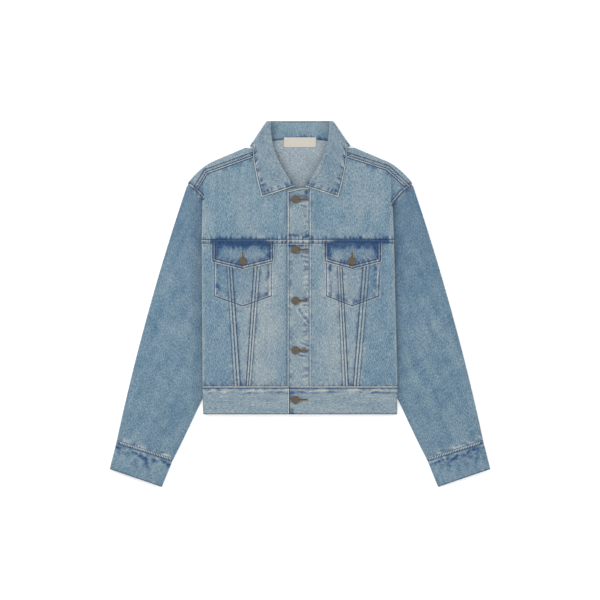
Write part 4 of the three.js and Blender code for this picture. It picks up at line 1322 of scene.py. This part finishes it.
def stitched(name, runs, material, length=2.7, radius=0.3, pitch=3.6, slant=None):
    """Threads along several lines of points in space. A slant, in degrees, lays them flat and aslant."""
    centres, ahead = [], []
    for path in runs:
        lengths = run_lengths(path[:, :2])
        spots = np.arange(pitch / 2, lengths[-1], pitch)
        centres.append(walk(path, lengths, spots))
        after, before = np.minimum(spots + 0.8, lengths[-1]), np.maximum(spots - 0.8, 0)
        ahead.append(walk(path, lengths, after) - walk(path, lengths, before))
    centres, ahead = np.concatenate(centres), np.concatenate(ahead)
    if slant is not None:
        turn = math.radians(slant)
        x = ahead[:, 0] * math.cos(turn) - ahead[:, 1] * math.sin(turn)
        y = ahead[:, 0] * math.sin(turn) + ahead[:, 1] * math.cos(turn)
        ahead = np.stack([x, y, 0 * x], -1)
    ahead /= np.linalg.norm(ahead, axis=1, keepdims=True)
    up = np.array([0.0, 0.0, 1.0]) - ahead * ahead[:, 2:]
    up /= np.linalg.norm(up, axis=1, keepdims=True)
    piece = stitch_mesh(name, centres, ahead, up, length, radius, material)
    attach(piece, "root")


def roped_seams():
    """Twisted seams: short raised folds of worn cloth that lie aslant between two lines of stitches."""
    for side, word in SIDES:
        f = np.linspace(0.05, 0.95, 60)
        out, y = sleeve_line(SLEEVE_TO - 3.4 / SLEEVE_LENGTH + 0 * f, f)
        path = np.stack([side * out, y, crown_z(f, SLEEVE_Z) + 0.1], -1)
        stitched(f"rope_cuff_{word}", [path], ROPED, 7.4, 1.15, 5.7, 38 * side)
        row = BAND_EDGE[side]
        edge = np.stack([np.array(row["out"]) + 4.0, np.array(row["y"]) + 5.4], -1)
        lengths = run_lengths(edge)
        out, y = walk(edge, lengths, np.linspace(0, 1, 80) * lengths[-1]).T
        z = front_z(side, out, y) + 0.75 + front_look(side * out, y).height * 0.5
        path = np.stack([side * out, y, z], -1)
        stitched(f"rope_shoulder_{word}", [path], ROPED, 6.4, 0.85, 4.7, 40 * side)


def on_front(path):
    """Points of a plan line laid on the front, close enough together to follow it."""
    path = np.asarray(path, dtype=float)
    lengths = run_lengths(path)
    x, y = walk(path, lengths, np.linspace(0, lengths[-1], max(2, int(lengths[-1] / 2.0)))).T
    return np.stack([x, y, front_top(x, y) + 0.05], -1)


def front_stitching():
    runs = []
    ys = np.linspace(CHEST_Y - 2, WAIST_Y + 1, 40)
    for row in STRIPS:
        centre, half = strip_at(row, ys)
        keep = ys < FLAP["point"] + 8
        for place, _ in STRIP_LINES:
            out = centre + place * half * row["inward"]
            runs.append(on_front(np.stack([row["side"] * out, ys], -1)[keep]))
    for side, start in ((-1, 29), (1, 21.5)):
        for y in CHEST_LINES:
            runs.append(on_front([(side * start, y), (side * (float(body_half(side, y)) - 5), y)]))
        bag = bag_path(side)
        ends = [(x, FLAP["corner"] - 2) for x, _ in (bag[0], bag[-1])]
        runs.append(on_front([ends[0], *bag[1:-1], ends[1]]))
    runs.append(on_front([(24, WAIST_Y + 2), (24, PLACKET_TOP - 14)]))
    stitched("thread_fronts", runs, THREAD)


def placket_stitching():
    lines = []
    for x, below in ((-PLACKET_EDGE + 2.8, 9), (18.5, 3)):
        y = np.linspace(WAIST_Y + 1.5, PLACKET_TOP - below, 200)
        lines.append((x + 0 * y, y))
    for y in CHEST_LINES:
        x = np.linspace(-PLACKET_EDGE + 1.5, 19, 20)
        lines.append((x, y + 0 * x))
    x = np.linspace(-PLACKET_EDGE + 3, 18, 24)
    lines.append((x, placket_top(x) - 3))
    runs = []
    for x, y in lines:
        z = front_z(-1, 0 * x, y) + LAP_RISE + placket_look(x, y).height
        runs.append(np.stack([x, y, z + 0.05], -1))
    stitched("thread_placket", runs, THREAD)


def flap_stitching():
    runs = []
    for side in (-1, 1):
        for inset in FLAP_LINES:
            path = np.array(flap_path(side, inset))
            lengths = run_lengths(path)
            x, y = walk(path, lengths, np.linspace(0, lengths[-1], 140)).T
            relief = 0.35 * clouds(x, y, 35, 33) + 0.3 * smooth((9 - inset) / 3)
            runs.append(np.stack([x, y, front_z(side, np.abs(x), y) + FLAP_RISE + relief - 0.1], -1))
    stitched("thread_flaps", runs, THREAD)


def buttonhole(name, start, end, z):
    """A worked buttonhole: close threads round a long slit, with a dark box inside that is a painted shadow
    in the slit.
    """
    half, pitch = 1.45, 0.62
    start, end = np.array(start, dtype=float), np.array(end, dtype=float)
    length = float(np.linalg.norm(end - start))
    along = (end - start) / length
    across = np.array([-along[1], along[0]])
    straight = length - 2 * half
    side_length = straight + math.pi * half
    centres, directions = [], []
    for spot in np.arange(0, 2 * side_length, pitch):
        # The way back is the way there, turned half round
        way, done = (1, spot) if spot < side_length else (-1, spot - side_length)
        angle = max(0, done - straight) / half
        n = way * (across * math.cos(angle) + along * math.sin(angle))
        from_start = min(done, straight)
        p = along * (half + (from_start if way > 0 else straight - from_start)) + n * half
        centres.append([*(start + p), z])
        directions.append([*n, 0])
    up = np.tile([0.0, 0.0, 1.0], (len(centres), 1))
    threads = stitch_mesh(name, np.array(centres), np.array(directions), up, 1.25, 0.34, THREAD_TAN)
    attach(threads, "root")
    # A dark box in the slit: a painted shadow where the cloth opens
    inset = along * half * 0.6
    corners = [start + inset + across * 0.85, start + inset - across * 0.85,
               end - inset - across * 0.85, end - inset + across * 0.85]
    points = np.array([[*c, z + h] for h in (-0.5, 0.3) for c in corners])
    faces = [(3, 2, 1, 0), (4, 5, 6, 7), (0, 1, 5, 4), (1, 2, 6, 5), (2, 3, 7, 6), (3, 0, 4, 7)]
    slit = add_object(f"{name}_slit", points, faces, (SLIT_SHADOW,))
    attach(slit, "root")


def buttonholes():
    for k, y in enumerate(BUTTON_YS):
        buttonhole(f"buttonhole_{k + 1}", (BUTTON_X - 2, y), (16.5, y), FRONT_Z + LAP_RISE + 0.25)
    z = FRONT_Z + DOUBLE + SEAM + 0.7
    for side, word in SIDES:
        x = side * POCKETS[side]["centre"]
        buttonhole(f"buttonhole_{word}", (x, FLAP_BUTTON_Y - 2), (x, FLAP_BUTTON_Y + 20), z)


def neck_label():
    xs, ys = np.meshgrid(np.linspace(-34, 34, 60), np.linspace(329, 350, 24))
    z = CLOTH + NECK_LIFT + SEAM + 0.8 + 0.25 * np.cos(xs / 34 * 1.4) + 0.12 * clouds(xs, ys, 20, 161)
    look = Look(xs)
    round_edges(look, (xs + 34, 34 - xs, ys - 329, 350 - ys), 0.25, 1.0)
    outer = np.stack([xs, ys, z + look.height], -1)
    inner = np.stack([xs, ys, z - 0.7], -1)
    piece = shell("label_bare", outer, inner, look, np.stack([xs, ys], -1), (LABEL, LABEL))
    finish_piece(piece, ["neck_label"], (68, 21), None)


# Materials

TWILL_SLANT, TWILL_LINES = 0.96, 1050
CREAM, DARK_LINE = "D2D0C6", "1E385A"


def srgb(code):
    parts = [int(code[k:k + 2], 16) / 255 for k in (0, 2, 4)]
    return tuple(p / 12.92 if p <= 0.04045 else ((p + 0.055) / 1.055) ** 2.4 for p in parts) + (1.0,)


def fill(tree, sockets, values):
    """Sets each socket, or links it where its value is another socket."""
    for key, value in values.items():
        if isinstance(value, bpy.types.NodeSocket):
            tree.links.new(value, sockets[key])
        else:
            sockets[key].default_value = value


def node(tree, kind, inputs, output=0, **settings):
    """Adds a node with its settings and inputs, and gives back one of its outputs."""
    made = tree.nodes.new("ShaderNode" + kind)
    for key, value in settings.items():
        setattr(made, key, value)
    fill(tree, made.inputs, inputs)
    return made.outputs[output]


def new_material(name, color, roughness, sockets=None):
    material = bpy.data.materials.new(name)
    material.use_nodes = True
    material.diffuse_color = color
    tree = material.node_tree
    shader = tree.nodes["Principled BSDF"]
    shader.inputs["Base Color"].default_value = color
    shader.inputs["Roughness"].default_value = roughness
    fill(tree, shader.inputs, sockets or {})
    return material, tree, shader.inputs


def blend(tree, kind, factor, a, b):
    return node(tree, "Mix", {0: factor, 6: a, 7: b}, 2, data_type="RGBA", blend_type=kind)


def noise_field(tree, vector, scale, stretch, detail):
    """Noise on the cloth's own coordinates, stretched along it."""
    place = node(tree, "Mapping", {"Vector": vector, "Scale": (scale * stretch[0], scale * stretch[1], 1)})
    grain = node(tree, "TexNoise", {"Vector": place, "Scale": 1.0, "Detail": detail, "Roughness": 0.6})
    return node(tree, "MapRange", {"Value": grain, "From Min": 0.3, "From Max": 0.7})


def grey_ramp(tree, value, low, high):
    return node(tree, "MapRange", {"Value": value, "To Min": low, "To Max": high})


def dress(tree, inputs, color, height, strength, distance):
    """Gives a shader its colour, and a bump from a field of heights."""
    relief = node(tree, "Bump", {"Height": height, "Strength": strength, "Distance": distance})
    fill(tree, inputs, {"Base Color": color, "Normal": relief})


def denim(name, light, dark, indigo, fade):
    """Washed twill. The wear attribute says how faded, how deep blue and how worn it is, and in alpha how
    dark; its deep blue also carries painted shade.
    """
    material, tree, inputs = new_material(name, srgb(light), 0.92, {
        "Sheen Weight": 0.12, "Sheen Roughness": 0.6, "Specular IOR Level": 0.2})
    cloth = node(tree, "Attribute", {}, "Vector", attribute_name="cloth")
    wear = node(tree, "Attribute", {}, attribute_name="wear").node.outputs
    parts = node(tree, "SeparateColor", {0: wear["Color"]}).node.outputs
    blotch = noise_field(tree, cloth, 45, (1, 0.8), 4)
    streak = noise_field(tree, cloth, 520, (1.0, 0.32), 2)
    weft = noise_field(tree, cloth, 760, (0.6, 1.0), 3)
    slanted = node(tree, "Mapping", {"Vector": cloth, "Rotation": (0, 0, TWILL_SLANT)})
    ribs = node(tree, "TexWave", {
        "Vector": slanted, "Scale": TWILL_LINES / 6.283,
        "Distortion": 1.2, "Detail": 1.0, "Detail Scale": 3.0}, "Fac")
    color = blend(tree, "MIX", blotch, srgb(dark), srgb(light))
    for amount, tint in ((parts[0], fade), (parts[1], indigo), (parts[2], CREAM), (wear["Alpha"], DARK_LINE)):
        color = blend(tree, "MIX", amount, color, srgb(tint))
    speck = node(tree, "Math", {0: streak, 1: weft}, operation="MULTIPLY")
    color = blend(tree, "SOFT_LIGHT", 1.0, color, grey_ramp(tree, speck, 0.17, 1.03))
    color = blend(tree, "SOFT_LIGHT", 0.45, color, grey_ramp(tree, ribs, 0.36, 0.66))
    dress(tree, inputs, color, node(tree, "Math", {0: ribs, 1: streak}, operation="ADD"), 0.35, 0.0003)
    return material


def plain_weave(name, light, dark, scale=900):
    material, tree, inputs = new_material(name, srgb(light), 0.9, {"Specular IOR Level": 0.2})
    cloth = node(tree, "Attribute", {}, "Vector", attribute_name="cloth")
    warp, weft = (noise_field(tree, cloth, scale, stretch, 2) for stretch in ((1, 0.12), (0.12, 1)))
    both = node(tree, "Math", {0: warp, 1: weft}, operation="MULTIPLY")
    dress(tree, inputs, blend(tree, "MIX", both, srgb(dark), srgb(light)), both, 0.4, 0.0002)
    return material


def object_noise(tree, scale):
    place = node(tree, "TexCoord", {}, "Object")
    return node(tree, "TexNoise", {"Vector": place, "Scale": scale, "Detail": 4.0, "Roughness": 0.6})


def bronze():
    material, tree, inputs = new_material("old_bronze", srgb("544A40"), 0.5, {"Metallic": 0.5})
    spots = object_noise(tree, 420)
    fill(tree, inputs, {"Roughness": grey_ramp(tree, spots, 0.32, 0.6)})
    dress(tree, inputs, blend(tree, "MIX", spots, srgb("3B342C"), srgb("665B4E")), spots, 0.3, 0.0003)
    return material


def thread(name, light, dark):
    material, tree, inputs = new_material(name, srgb(light), 0.75)
    fill(tree, inputs, {"Base Color": blend(tree, "MIX", object_noise(tree, 900), srgb(dark), srgb(light))})
    return material


def floor_material():
    # The floor also glows faintly: painted light that fills in the shadows cast on it
    material, tree, inputs = new_material("glowing_floor_paper", (0.93, 0.93, 0.93, 1), 0.9, {
        "Specular IOR Level": 0.1, "Emission Color": (1, 1, 1, 1), "Emission Strength": 0.12})
    dark, light = (0.955, 0.955, 0.955, 1), (0.965, 0.965, 0.965, 1)
    fill(tree, inputs, {"Base Color": blend(tree, "MIX", object_noise(tree, 30), dark, light)})
    return material


# Camera, lights and floor

CAMERA_WIDTH = 1.26
FLOOR_HALF, FLOOR_Z = 12000, -0.02


def studio():
    scene = bpy.context.scene
    camera = bpy.data.cameras.new("camera")
    camera.type = "ORTHO"
    camera.ortho_scale = CAMERA_WIDTH
    camera.clip_end = 20
    holder = bpy.data.objects.new("camera", camera)
    holder.location = (0, 0.0084, 3)
    scene.collection.objects.link(holder)
    scene.camera = holder
    world = bpy.data.worlds.new("studio")
    world.use_nodes = True
    world.node_tree.nodes["Background"].inputs[0].default_value = (1, 1, 1, 1)
    world.node_tree.nodes["Background"].inputs[1].default_value = 1.0
    scene.world = world
    for name, place, size, power in (("key", (-1.3, 1.1, 1.8), 1.6, 26), ("fill", (1.2, -0.4, 2.2), 2.0, 12)):
        light = bpy.data.lights.new(name, "AREA")
        light.size = size
        light.energy = power
        lamp = bpy.data.objects.new(name, light)
        lamp.location = place
        lamp.rotation_euler = (-Vector(place)).to_track_quat("-Z", "Y").to_euler()
        scene.collection.objects.link(lamp)
    scene.view_settings.view_transform = "Standard"
    corners = ((-1, -1), (1, -1), (1, 1), (-1, 1))
    points = np.array([(x * FLOOR_HALF, y * FLOOR_HALF, FLOOR_Z) for x, y in corners])
    floor = add_object("floor", points, [(0, 1, 2, 3)], (floor_material(),))


DENIM = denim("denim_right_side", "778E9B", "617D90", "274A70", "9BA3A5")
DENIM_PALE = denim("denim_bands", "7A8D99", "637D8E", "274A70", "97A1A4")
DENIM_SLEEVE = denim("denim_sleeves", "6B8595", "557387", "294C72", "8597A0")
DENIM_COLLAR = denim("denim_collar", "80919A", "667D8D", "274A70", "9FA6A9")
WRONG_SIDE = denim("denim_wrong_side", "949FA7", "7F8D97", "5C6F80", "A9B2B6")
POCKETING = plain_weave("pocketing", "D2D4D0", "BFC3C1")
LABEL = plain_weave("label_cotton", "BFBBB3", "B0ABA1", 1300)
BRONZE = bronze()
THREAD = thread("thread_navy", "3C5068", "24384F")
ROPED = thread("worn_ridges", "A9B2B4", "7F92A0")
THREAD_TAN = thread("thread_tan", "B08D58", "7E6238")
# Painted shadow colour for the inside of the buttonhole slits
SLIT_SHADOW = thread("slit_shadow", "2A3440", "1C242E")

studio()
fronts()
plackets()
for side, word in SIDES:
    pocket_pieces(side, word)
    sleeve(side, word)
    cuff(side, word)
back_pieces()
back_yoke()
waistband()
collar()
buttons()
buttonholes()
roped_seams()
neck_label()
front_stitching()
placket_stitching()
flap_stitching()
